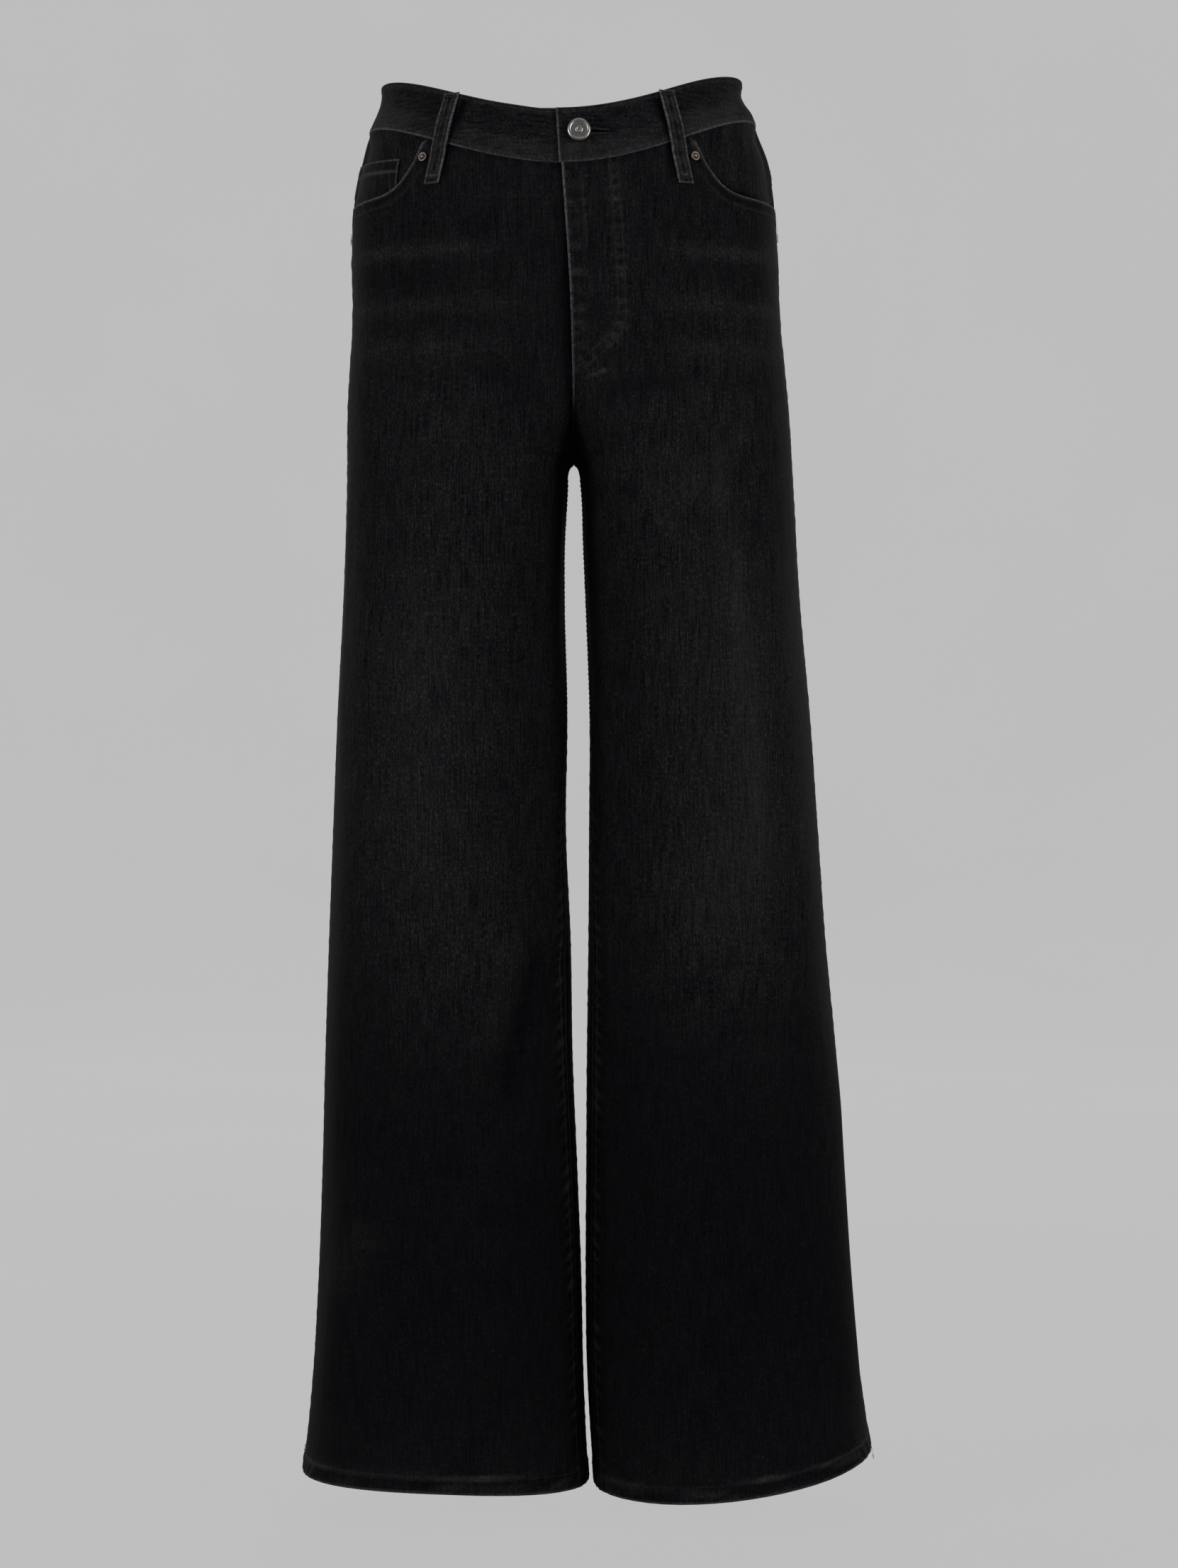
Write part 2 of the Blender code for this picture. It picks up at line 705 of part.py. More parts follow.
def build_loop(name, side, half, u_top, z_foot, row_at):
    """A belt loop from the waistband's top edge to its foot; row_at gives one row's points."""
    z_top = band_height("top", side, half, u_top) - LOOP_TOP_DROP
    seam_v = (z_top - band_height("seam", side, half, u_top)) / (z_top - z_foot)
    outside, inside = [], []
    for v in between(0.0, 1.0, LOOP_ROWS):
        z, lift = z_top + (z_foot - z_top) * v, loop_lift(v, seam_v)
        outside.append(row_at(v, z, lift))
        inside.append(row_at(v, z, lift - LOOP_THICK))
    return build_wall(name, outside, inside, "denim")


def build_belt_loops():
    """Five belt loops: two in front that slant outwards, two on the back and one over the seat seam."""
    across = (-LOOP_WIDTH / 2, 0.0, LOOP_WIDTH / 2)
    for loop in LOOPS:
        side, half, x_top, x_foot = (loop[key] for key in ("side", "half", "x_top", "x_foot"))

        def slanted_row(v, z, lift):
            middle = u_at_x(side, half, x_top + (x_foot - x_top) * v, z)
            full = length(side, half, z)
            return [point(side, half, middle + w / full, z, lift) for w in across]

        u_top = u_at_x(side, half, x_top, 0.0)
        build_loop(loop["name"], side, half, u_top, loop["z_foot"], slanted_row)

    def centre_row(_, z, lift):
        return [across_centre("back", w, z, lift) for w in across]

    build_loop("belt_loop_back_centre", "left", "back", 0.0, CENTRE_LOOP_FOOT_Z, centre_row)


def build_turned(name, centre, axis, profile, sides, slot):
    """A closed turned body: the profile holds a radius and a distance along the axis."""
    mesh = bmesh.new()
    axis = axis / np.linalg.norm(axis)
    first = np.cross(axis, (0.0, 0.0, 1.0))
    first /= np.linalg.norm(first)
    second = np.cross(axis, first)
    rings = []
    for radius, reach in profile:
        if radius == 0.0:
            rings.append([mesh.verts.new(centre + axis * reach)])
            continue
        ring = []
        for k in range(sides):
            angle = 2 * math.pi * k / sides
            spoke = first * math.cos(angle) + second * math.sin(angle)
            ring.append(mesh.verts.new(centre + axis * reach + spoke * radius))
        rings.append(ring)
    for upper, lower in zip(rings, rings[1:]):
        for k in range(sides):
            following = (k + 1) % sides
            if len(upper) == 1:
                mesh.faces.new((upper[0], lower[k], lower[following]))
            elif len(lower) == 1:
                mesh.faces.new((upper[k], lower[0], upper[following]))
            else:
                mesh.faces.new((upper[k], lower[k], lower[following], upper[following]))
    return finish_mesh(name, mesh, slot)


def build_button():
    """Shank button: ringed cap, neck through the keyhole, nail through the inner end, and its tack."""
    place = ("left", "front", BUTTON_S / length("left", "front", BUTTON_Z), BUTTON_Z)
    band_face = BAND_PROUD + 0.0005
    inner_end = BAND_PROUD - FOLDED_DENIM - GAP
    profile = (
        (0.0, band_face + 0.0040),
        (0.0026, band_face + 0.0040),
        (0.0031, band_face + 0.0034),
        (0.0056, band_face + 0.0034),
        (0.0064, band_face + 0.0039),
        (0.0080, band_face + 0.0034),
        (0.0085, band_face + 0.0024),
        (0.0081, band_face + 0.0014),
        (0.0032, band_face + 0.0006),
        (0.0030, inner_end + GAP),
        (0.0013, inner_end + GAP),
        (0.0013, inner_end - FOLDED_DENIM - GAP),
        (0.0046, inner_end - FOLDED_DENIM - GAP),
        (0.0042, inner_end - FOLDED_DENIM - 0.0016),
        (0.0, inner_end - FOLDED_DENIM - 0.0018),
    )
    centre, axis = bare_point(*place), normal(*place)
    return build_turned("button", centre, axis, profile, BUTTON_SIDES, "button_metal")


def drill(panel, cutter):
    """Cut a hole through a piece and keep the modifier."""
    cut = panel.modifiers.new("rivet_hole", "BOOLEAN")
    cut.operation = "DIFFERENCE"
    cut.solver = "EXACT"
    cut.object = cutter


def build_rivet(side, layers):
    """Rivet at the pocket's corner: cap outside, post through the layers and burr inside."""
    x = RIVET_X[side] * SIGN[side]
    place = (side, "front", u_at_x(side, "front", x, RIVET_Z), RIVET_Z)
    centre, axis = bare_point(*place), normal(*place)
    behind = BAG_LIFT - POCKETING - 2 * SETTLE
    profile = (
        (0.0, 0.0021),
        (0.0010, 0.0020),
        (0.0014, 0.0013),
        (0.0029, 0.0013),
        (0.0036, 0.0007),
        (0.0034, GAP),
        (0.0011, GAP),
        (0.0011, behind - GAP),
        (0.0027, behind - GAP),
        (0.0025, behind - 0.0011),
        (0.0, behind - 0.0012),
    )
    build_turned(f"rivet_{side}", centre, axis, profile, RIVET_SIDES, "rivet_metal")
    bore = ((0.0, 0.004), (RIVET_HOLE_R, 0.004), (RIVET_HOLE_R, -0.010), (0.0, -0.010))
    cutter = build_turned(f"rivet_bore_{side}", centre, axis, bore, RIVET_SIDES, "rivet_metal")
    cutter.hide_render = True
    cutter.display_type = "WIRE"
    for layer in layers:
        drill(layer, cutter)


def main():
    """Build every piece of the jeans."""
    clear_scene()
    for side in SIDES:
        front = build_front(side)
        build_back(side)
        build_yoke(side)
        facing = build_pocket_facing(side)
        bag = build_pocket_bag(side)
        build_back_pocket(side)
        build_rivet(side, (front, facing, bag))
    build_coin_pocket()
    build_fly_facing()
    build_fly()
    build_waistband()
    build_belt_loops()
    build_button()


main()
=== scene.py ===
"""Looks of the palazzo jeans: fine shells, seams, stitching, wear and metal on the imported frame.

Every cloth piece is laid on the same garment surface as in the CAD, from the same short tables, so it stays
where its node is. Places on the surface are a side (right or left leg of the wearer), a half (front or
back), a distance s from the centre line or inseam (or u, its share of the way to the outseam), a height z
and a lift off the surface. All lengths are in metres.
"""

import math
from functools import lru_cache, partial

import bmesh
import bpy
import numpy as np
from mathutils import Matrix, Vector


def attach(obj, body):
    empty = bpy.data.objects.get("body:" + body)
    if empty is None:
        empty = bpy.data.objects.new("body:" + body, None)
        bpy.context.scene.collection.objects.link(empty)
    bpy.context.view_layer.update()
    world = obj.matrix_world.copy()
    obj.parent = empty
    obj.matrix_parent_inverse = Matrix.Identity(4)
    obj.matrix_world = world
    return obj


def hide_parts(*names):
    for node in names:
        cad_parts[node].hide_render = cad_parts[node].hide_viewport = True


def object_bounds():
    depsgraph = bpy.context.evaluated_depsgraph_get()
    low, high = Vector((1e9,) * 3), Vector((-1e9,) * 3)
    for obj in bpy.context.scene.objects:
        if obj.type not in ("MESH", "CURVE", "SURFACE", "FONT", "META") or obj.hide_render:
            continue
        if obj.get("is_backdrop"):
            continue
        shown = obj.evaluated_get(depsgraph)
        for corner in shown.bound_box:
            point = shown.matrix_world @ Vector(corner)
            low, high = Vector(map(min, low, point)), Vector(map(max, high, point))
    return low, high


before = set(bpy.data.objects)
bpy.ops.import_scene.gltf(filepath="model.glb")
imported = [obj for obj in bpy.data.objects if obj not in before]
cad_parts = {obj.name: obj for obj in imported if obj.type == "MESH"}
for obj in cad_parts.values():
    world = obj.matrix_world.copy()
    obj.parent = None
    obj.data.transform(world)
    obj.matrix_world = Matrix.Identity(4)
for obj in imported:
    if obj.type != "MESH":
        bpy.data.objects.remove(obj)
cad_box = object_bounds()

bl_info = {
    "name": "Palazzo jeans",
    "version": (1, 0, 0),
    "blender": (4, 5, 0),
    "location": "3D View > Sidebar > Jeans",
    "description": "Builds washed black palazzo jeans on their CAD frame",
    "category": "Object",
}

# Cloth, gaps and the sections' roundness, as in the CAD
DENIM = 0.0012
FOLDED_DENIM = 0.0024
POCKETING = 0.0010
ZIP_TAPE = 0.0010
SHIELD = 0.0020
GAP = 0.0003
SETTLE = 0.0003
LAYER = DENIM + GAP + SETTLE
BAG_LIFT = -3 * LAYER - SETTLE
BAND_PROUD = 0.0008
ROUNDNESS = 2.2
CROTCH_SHARPNESS = 1.3

# How far the edges of two pieces lap at a seam here, where the CAD leaves a gap
LAP = 0.0002

# Heights, as in the CAD
CROTCH_Z = -0.2566
HIP_Z = -0.120
ROUND_LEG_Z = -0.450
HEM_DEPTH = 0.0120
FLY_END_Z = -0.1935
YOKE_Z = {"centre": -0.078, "side": -0.050}
WAIST_DIP = 2.4
POCKET_CORNER_X = {"right": 0.1025, "left": 0.0990}
POCKET_CORNER_Z = -0.0415
FACING_BELOW = 0.030
BUTTON_S = 0.0139
BUTTON_Z = -0.0308
RIVET_X = {"right": 0.0990, "left": 0.0952}
RIVET_Z = -0.0455

# The keyhole's eyelet and narrow end, the nail's hole, and the waistband's two ends, from the centre front
EYELET_R = 0.0036
KEYHOLE_END_S = 0.0345
NAIL_R = 0.0020
UNDER_END_S = 0.040
OVER_END_S = 0.0016

# Stitch rows by their distances from an edge, and how far the turned-in cloth reaches under them
SEAM_ROWS, SEAM_UNDER = (0.0020, 0.0085), 0.0095
RISE_ROWS, RISE_UNDER = (0.0018, 0.0075), 0.0085
OPENING_ROWS, OPENING_UNDER = (0.0022, 0.0085), 0.0100
COIN_ROWS, COIN_UNDER = (0.0016, 0.0090), 0.0100
BAND_ROW = 0.0030
INSEAM_ROW = 0.0020
FLY_ROW_GAP = 0.0060

# Back pockets' width and height and the depth of their hem, and the fly facing's width
BACK_POCKET_SIZE = (0.135, 0.138)
BACK_POCKET_HEM = 0.0150
FLY_WIDTH = 0.043

# How far towards the front the inseams have turned at the hem, and the width of their felled seam
INSEAM_TURN = 0.033
INSEAM_FELL = 0.011

# Stitches: how far the middle stands proud of the cloth, and the ends sink in
STITCH_PROUD, STITCH_SUNK = 0.00016, 0.00015

# How much paler the cloth is on a fold's crest, for each metre of its height: partly rubbed wear, partly
# painted highlight; a sunken fold gets painted shade at the same rate
FOLD_WEAR_AND_PAINTED_LIGHT = 22.0

# The photograph's camera, and the height of the floor
CAMERA_PLACE = (0.0197, -2.3, -0.495)
CAMERA_LENS_MM = 71.1
FLOOR_Z = -1.030

SIDES = ("right", "left")
HALVES = ("front", "back")
SIGN = {"right": -1, "left": 1}

# How far apart the leg panels are cut from the roll of cloth
CUT_FROM = {("right", "front"): 0.0, ("left", "front"): 1.3, ("right", "back"): 2.9, ("left", "back"): 4.1}


def rows(names, *values):
    """A table with one array for each named column."""
    return dict(zip(names.split(), np.array(values, float).T))


# Outer edge of the garment at each height, wearer's right (-X) and left (+X)
OUTLINE = rows(
    "z        right    left",
    (0.0400, -0.1345, 0.1325),
    (0.0220, -0.1340, 0.1325),
    (0.0134, -0.1330, 0.1315),
    (0.0050, -0.1342, 0.1352),
    (-0.0010, -0.1364, 0.1398),
    (-0.0129, -0.1420, 0.1442),
    (-0.0339, -0.1480, 0.1523),
    (-0.0600, -0.1535, 0.1562),
    (-0.1076, -0.1561, 0.1597),
    (-0.1497, -0.1556, 0.1613),
    (-0.2129, -0.1592, 0.1674),
    (-0.2761, -0.1598, 0.1713),
    (-0.3603, -0.1624, 0.1760),
    (-0.4445, -0.1666, 0.1834),
    (-0.5287, -0.1698, 0.1892),
    (-0.6129, -0.1729, 0.1950),
    (-0.6971, -0.1756, 0.2029),
    (-0.7813, -0.1777, 0.2081),
    (-0.8655, -0.1808, 0.2139),
    (-0.9290, -0.1845, 0.2200),
    (-0.9708, -0.1882, 0.2260),
    (-1.0200, -0.1945, 0.2335),
)

# Inner edge of each leg
INSEAM = rows(
    "z          right    left",
    (CROTCH_Z, 0.00825, 0.00855),
    (-0.2590, 0.0060, 0.0108),
    (-0.2640, 0.0042, 0.0126),
    (-0.2761, 0.0036, 0.0141),
    (-0.3182, 0.0013, 0.0158),
    (-0.3603, 0.0012, 0.0176),
    (-0.4445, 0.0036, 0.0202),
    (-0.5287, 0.0026, 0.0197),
    (-0.6129, 0.0062, 0.0192),
    (-0.6971, 0.0076, 0.0181),
    (-0.7813, 0.0111, 0.0176),
    (-0.8655, 0.0142, 0.0172),
    (-0.9290, 0.0155, 0.0182),
    (-0.9708, 0.0172, 0.0204),
    (-1.0200, 0.0200, 0.0240),
)

# Centre line above the crotch: the fly's edge in front, the seat seam behind
CENTRE = rows(
    "z         x",
    (0.0400, -0.0040),
    (-0.0130, -0.0024),
    (-0.0600, 0.0005),
    (-0.1430, 0.0060),
    (-0.2170, 0.0081),
    (CROTCH_Z, 0.0084),
)

# Distance from the side seam's plane to the front and to the back, and that plane's place
DEPTH = rows(
    "z         front   back    plane",
    (0.0400, 0.0880, 0.0985, 0.0000),
    (0.0000, 0.0935, 0.1045, 0.0000),
    (-0.0530, 0.1010, 0.1130, 0.0005),
    (-0.1000, 0.1035, 0.1185, 0.0015),
    (-0.1500, 0.1040, 0.1225, 0.0025),
    (-0.2050, 0.1035, 0.1235, 0.0030),
    (-0.2566, 0.1025, 0.1200, 0.0030),
    (-0.3300, 0.1010, 0.1160, 0.0025),
    (-0.4300, 0.0980, 0.1110, 0.0015),
    (-0.5500, 0.0955, 0.1060, 0.0005),
    (-0.6700, 0.0945, 0.1025, 0.0000),
    (-0.8000, 0.0960, 0.1015, 0.0000),
    (-0.9200, 0.0990, 0.1025, 0.0000),
    (-1.0200, 0.1030, 0.1050, 0.0000),
)

# Waistband's two edges: heights at the centre front, the side seams and the centre back
BAND_EDGE = {
    "seam": {"front": -0.0535, "right": -0.0148, "left": -0.0090, "back": -0.0085},
    "top": {"front": -0.0132, "right": 0.0197, "left": 0.0242, "back": 0.0290},
}

# Bottom edge of each leg at its outseam, front, inseam and back
HEM_EDGE = {
    "right": {"outer": -1.0008, "front": -0.9994, "inner": -1.0090, "back": -1.0010},
    "left": {"outer": -0.9850, "front": -1.0040, "inner": -1.0110, "back": -0.9990},
}

# Front pocket opening: height below the rivet's corner at distances outwards from it
POCKET_CURVE = rows(
    "out      down",
    (-0.0036, -0.0190),
    (0.0000, 0.0000),
    (0.0050, 0.0100),
    (0.0110, 0.0195),
    (0.0180, 0.0255),
    (0.0270, 0.0283),
    (0.0400, 0.0290),
    (0.0560, 0.0290),
)

# The fly's curved stitching: distance from the centre line and height
FLY_CURVE = rows(
    "s        z",
    (0.0405, -0.0480),
    (0.0402, -0.1000),
    (0.0400, -0.1500),
    (0.0396, -0.1620),
    (0.0370, -0.1720),
    (0.0310, -0.1800),
    (0.0225, -0.1880),
    (0.0130, -0.1955),
    (0.0030, -0.2010),
)

# Soft folds of each panel, as in the CAD: place across (u) at the top and the low end, heights of both,
# half width (u) and height
FOLDS = {
    ("right", "front"): (
        (0.18, 0.30, -0.60, -0.74, 0.08, -0.0032),
        (0.32, 0.40, -0.58, -0.80, 0.09, 0.0022),
        (0.72, 0.80, -0.76, -0.95, 0.08, 0.0028),
        (0.60, 0.58, -0.34, -0.60, 0.12, 0.0020),
    ),
    ("left", "front"): (
        (0.70, 0.66, -0.30, -0.60, 0.12, 0.0030),
        (0.36, 0.32, -0.34, -0.96, 0.12, -0.0022),
        (0.90, 0.88, -0.66, -0.98, 0.08, 0.0030),
        (0.56, 0.60, -0.80, -1.02, 0.10, -0.0024),
    ),
    ("right", "back"): (
        (0.44, 0.40, -0.26, -0.60, 0.10, -0.0032),
        (0.66, 0.70, -0.46, -0.98, 0.11, 0.0032),
    ),
    ("left", "back"): (
        (0.40, 0.46, -0.26, -0.52, 0.10, -0.0035),
        (0.62, 0.58, -0.50, -0.98, 0.11, 0.0035),
    ),
}

# Smaller creases of each panel: both ends as (u, z), half width and height, and how pale the crest is:
# rubbed wear and painted highlight where positive, painted shade in the crease where negative
CREASES = {
    ("right", "front"): (
        (1.15, -0.1100, 0.14, -0.1140, 0.0050, 0.0005, 0.26),
        (1.05, -0.1325, 0.36, -0.1350, 0.0080, -0.0006, -0.22),
        (1.15, -0.1490, 0.08, -0.1540, 0.0075, 0.0004, 0.16),
        (1.12, -0.1790, 0.14, -0.1850, 0.0090, 0.0004, 0.13),
        (0.10, -0.2180, 0.30, -0.2050, 0.0080, -0.0006, -0.15),
        (0.30, -0.5900, 0.42, -0.7000, 0.0110, 0.0012, 0.07),
        (0.23, -0.5850, 0.37, -0.7400, 0.0090, -0.0020, -0.30),
        (0.10, -0.6100, 0.34, -0.6900, 0.0090, -0.0008, -0.10),
        (0.66, -0.8050, 0.80, -0.8700, 0.0140, 0.0012, 0.10),
        (0.90, -0.2300, 0.84, -0.5200, 0.0090, 0.0012, 0.12),
    ),
    ("left", "front"): (
        (1.12, -0.1095, 0.26, -0.1150, 0.0050, 0.0005, 0.26),
        (1.02, -0.1295, 0.42, -0.1340, 0.0080, -0.0006, -0.22),
        (1.12, -0.1485, 0.22, -0.1540, 0.0075, 0.0004, 0.17),
        (1.12, -0.1780, 0.22, -0.1870, 0.0090, 0.0004, 0.14),
        (0.50, -0.2040, 0.06, -0.2160, 0.0060, -0.0007, -0.30),
        (0.125, -0.1998, 0.035, -0.2068, 0.0009, 0.0004, 0.90),
        (0.14, -0.6600, 0.34, -0.7300, 0.0120, -0.0009, -0.08),
        (0.30, -0.6300, 0.50, -0.6600, 0.0090, 0.0006, 0.10),
    ),
    ("right", "back"): (
        (0.03, -0.2600, 0.46, -0.2440, 0.0070, -0.0024, -0.34),
        (0.10, -0.2800, 0.66, -0.2590, 0.0090, -0.0018, -0.22),
        (0.12, -0.2950, 0.52, -0.3080, 0.0110, 0.0016, 0.12),
        (0.06, -0.3100, 0.40, -0.3480, 0.0090, -0.0016, -0.18),
        (0.14, -0.5330, 0.60, -0.5520, 0.0080, -0.0018, -0.20),
        (0.26, -0.5830, 0.84, -0.5640, 0.0090, -0.0018, -0.20),
        (0.20, -0.6120, 0.66, -0.6380, 0.0110, 0.0012, 0.08),
        (0.90, -0.2600, 0.82, -0.6000, 0.0100, -0.0016, -0.16),
        (0.78, -0.6000, 0.86, -0.9800, 0.0160, 0.0030, 0.05),
        (0.34, -0.3000, 0.40, -0.9700, 0.0200, -0.0040, -0.06),
        (0.60, -0.3600, 0.62, -0.9900, 0.0180, 0.0034, 0.05),
    ),
    ("left", "back"): (
        (0.03, -0.2630, 0.42, -0.2420, 0.0070, -0.0024, -0.34),
        (0.12, -0.2830, 0.70, -0.2630, 0.0090, -0.0018, -0.22),
        (0.10, -0.2990, 0.56, -0.3060, 0.0110, 0.0016, 0.12),
        (0.05, -0.3120, 0.36, -0.3560, 0.0090, -0.0016, -0.18),
        (0.12, -0.5370, 0.56, -0.5590, 0.0080, -0.0018, -0.20),
        (0.30, -0.5880, 0.88, -0.5660, 0.0090, -0.0018, -0.20),
        (0.24, -0.6180, 0.70, -0.6400, 0.0110, 0.0012, 0.08),
        (0.92, -0.2600, 0.84, -0.5800, 0.0100, -0.0016, -0.16),
        (0.80, -0.6000, 0.88, -0.9800, 0.0160, 0.0030, 0.05),
        (0.38, -0.3100, 0.36, -0.9900, 0.0200, -0.0040, -0.06),
        (0.64, -0.3400, 0.60, -0.9700, 0.0180, 0.0034, 0.05),
    ),
}

# Washed-out places of each panel, with places of painted light and shade among them: centre (u, z), half
# extents across and along, and how pale
BLEACHED_AND_PAINTED_LIGHT = {
    ("right", "front"): (
        (0.56, -0.430, 0.060, 0.150, 0.40),
        (0.52, -0.240, 0.060, 0.060, 0.20),
        (0.50, -0.600, 0.058, 0.070, 0.30),
        (0.86, -0.140, 0.030, 0.070, 0.14),
        # Painted light just above the crotch, where the two legs shade each other
        (0.03, -0.262, 0.020, 0.034, 0.30),
    ),
    ("left", "front"): (
        (0.56, -0.430, 0.060, 0.150, 0.48),
        (0.54, -0.250, 0.060, 0.060, 0.30),
        (0.62, -0.150, 0.060, 0.050, 0.20),
        (0.88, -0.120, 0.030, 0.060, 0.22),
        (0.12, -0.120, 0.030, 0.080, 0.12),
        (0.55, -0.585, 0.060, 0.070, 0.42),
        # Painted highlight down a fold's ridge on the wearer's left leg, and painted shade beside it
        (0.62, -0.290, 0.0050, 0.070, 0.42),
        (0.61, -0.400, 0.0060, 0.080, 0.46),
        (0.62, -0.520, 0.0050, 0.070, 0.42),
        (0.69, -0.400, 0.010, 0.140, -0.16),
        (0.80, -0.760, 0.016, 0.080, 0.12),
        # Painted light just above the crotch, where the two legs shade each other
        (0.03, -0.262, 0.020, 0.034, 0.30),
    ),
    ("right", "back"): (
        (0.45, -0.165, 0.060, 0.060, 0.40),
        (0.50, -0.400, 0.060, 0.130, 0.22),
    ),
    ("left", "back"): (
        (0.45, -0.165, 0.060, 0.060, 0.40),
        (0.50, -0.400, 0.060, 0.130, 0.22),
    ),
}

# How washed out the cloth is at each height, and how much less beside the inseams: that lessening is painted
# shade on the insides of the legs
WASH = rows(
    "z        pale  inner",
    (0.040, 0.30, 0.00),
    (-0.050, 0.32, 0.00),
    (-0.110, 0.30, 0.05),
    (-0.200, 0.28, 0.00),
    (-0.300, 0.34, 0.30),
    (-0.450, 0.35, 0.40),
    (-0.580, 0.30, 0.36),
    (-0.660, 0.15, 0.20),
    (-0.740, 0.07, 0.05),
    (-0.950, 0.09, 0.00),
    (-1.020, 0.22, 0.00),
)

# Puckered seams of each panel: which edge, the waves' random seed, from which height to which, spacing
# and depth of the puckers, how far they reach, how pale their crests are (rubbed wear, with painted shade in
# their troughs), and where they are strongest
SEAMS = {
    ("right", "front"): (
        ("inseam", 0, -0.270, -1.010, 0.0052, 0.00050, 0.0060, 0.46, 0.0),
        ("outer", 4, -0.075, -1.010, 0.0060, 0.00028, 0.0070, 0.12, 0.0),
        ("inner", 11, -0.195, -0.262, 0.0050, 0.00026, 0.0050, 0.10, 0.0),
        ("pocket", 13, 0.000, -0.300, 0.0050, 0.00026, 0.0065, 0.14, 0.0),
        ("waist", 15, 0.050, -0.120, 0.0056, 0.00022, 0.0060, 0.14, 0.0),
        ("hem", 21, -0.960, -1.030, 0.0062, 0.00050, 0.0075, 0.26, 0.0060),
    ),
    ("left", "front"): (
        ("inseam", 1, -0.270, -1.010, 0.0054, 0.00050, 0.0060, 0.46, 0.0),
        ("outer", 5, -0.075, -1.010, 0.0058, 0.00028, 0.0070, 0.12, 0.0),
        ("inner", 8, -0.045, -0.205, 0.0044, 0.00038, 0.0050, 0.40, 0.001),
        ("inner", 9, -0.050, -0.200, 0.0071, 0.00026, 0.0040, 0.24, 0.007),
        ("inner", 10, -0.195, -0.262, 0.0048, 0.00030, 0.0060, 0.16, 0.0),
        ("fly", 12, 0.000, -0.300, 0.0040, 0.00030, 0.0050, 0.60, 0.0),
        ("pocket", 14, 0.000, -0.300, 0.0052, 0.00026, 0.0065, 0.14, 0.0),
        ("waist", 16, 0.050, -0.120, 0.0054, 0.00022, 0.0060, 0.14, 0.0),
        ("hem", 22, -0.960, -1.030, 0.0058, 0.00050, 0.0075, 0.26, 0.0060),
    ),
    ("right", "back"): (
        ("inner", 2, -0.030, -1.010, 0.0056, 0.00034, 0.0060, 0.16, 0.0),
        ("outer", 6, -0.055, -1.010, 0.0062, 0.00028, 0.0070, 0.12, 0.0),
        ("waist", 17, 0.050, -0.120, 0.0056, 0.00022, 0.0060, 0.14, 0.0),
        ("yoke", 19, 0.050, -0.150, 0.0050, 0.00032, 0.0060, 0.18, 0.0),
        ("hem", 23, -0.960, -1.030, 0.0060, 0.00050, 0.0075, 0.26, 0.0060),
    ),
    ("left", "back"): (
        ("inner", 3, -0.030, -1.010, 0.0053, 0.00034, 0.0060, 0.16, 0.0),
        ("outer", 7, -0.055, -1.010, 0.0060, 0.00028, 0.0070, 0.12, 0.0),
        ("waist", 18, 0.050, -0.120, 0.0054, 0.00022, 0.0060, 0.14, 0.0),
        ("yoke", 20, 0.050, -0.150, 0.0052, 0.00032, 0.0060, 0.18, 0.0),
        ("hem", 24, -0.960, -1.030, 0.0064, 0.00050, 0.0075, 0.26, 0.0060),
    ),
}

# Belt loops: name, leg, half, distance from the middle plane at the top and at the foot, height of the foot
LOOPS = (
    ("belt_loop_front_right", "right", "front", 0.0774, 0.0928, -0.0659),
    ("belt_loop_front_left", "left", "front", 0.0742, 0.0888, -0.0659),
    ("belt_loop_back_right", "right", "back", 0.0790, 0.0800, -0.0370),
    ("belt_loop_back_left", "left", "back", 0.0800, 0.0810, -0.0370),
    ("belt_loop_back_centre", "left", "back", 0.0, 0.0, -0.0340),
)

# Their top ends' drop below the waistband's top edge, width, thickness, how far they stand off in the middle,
# their stitched lines' distance from the sides and the bar-tacks' from the ends
LOOP_TOP_DROP = 0.0012
LOOP_WIDTH = 0.0115
LOOP_THICK = 0.0018
LOOP_RISE = 0.0016
LOOP_ROW = 0.0026
LOOP_TACK = 0.0035

# The fine surface grid: heights close together where the crotch curves, and points across
LEVELS = np.unique(
    np.round(
        np.concatenate([np.arange(-1.024, 0.0441, 0.002), CROTCH_Z + 0.04 * np.linspace(0, 1, 31) ** 2]), 6
    )
)
ACROSS = 261

# Distance from the middle plane at which the warp hangs plumb
PLUMB_X = 0.086

# Distances from a rounded edge at which a shell has rows of points
ROUND_STEPS = np.array([0.0, 0.00012, 0.0004, 0.0009, 0.0016, 0.0024])


def ease(t):
    """0 to 1 with a soft start and end."""
    t = np.clip(t, 0.0, 1.0)
    return t * t * (3 - 2 * t)


def bell(away, width):
    """A soft hump: 1 where away is 0, and about a third at its half width."""
    return np.exp(-((away / width) ** 2))


def circle(sides):
    """Angles evenly spaced round a circle."""
    return np.arange(sides) * 2 * math.pi / sides


def smooth(table, column, z):
    """A column's value at heights z: a cubic through the rows, straight beyond both ends."""
    heights, values = table["z"][::-1], table[column][::-1]
    slopes = np.gradient(values, heights)
    low = np.clip(np.searchsorted(heights, z) - 1, 0, len(heights) - 2)
    span = heights[low + 1] - heights[low]
    t = np.clip((z - heights[low]) / span, 0.0, 1.0)
    start = (1 + 2 * t) * (1 - t) ** 2 * values[low] + t * (1 - t) ** 2 * span * slopes[low]
    end = t * t * (3 - 2 * t) * values[low + 1] + t * t * (t - 1) * span * slopes[low + 1]
    beyond = slopes[0] * np.minimum(z - heights[0], 0) + slopes[-1] * np.maximum(z - heights[-1], 0)
    return start + end + beyond


def curve_through(table, first, second, count):
    """Points of a smooth curve through a table's rows, evenly spread in row number."""
    place = np.arange(len(table[first]), dtype=float)
    fine = {"z": place[::-1], "first": table[first][::-1], "second": table[second][::-1]}
    steps = np.linspace(0, place[-1], count)
    return smooth(fine, "first", steps), smooth(fine, "second", steps)


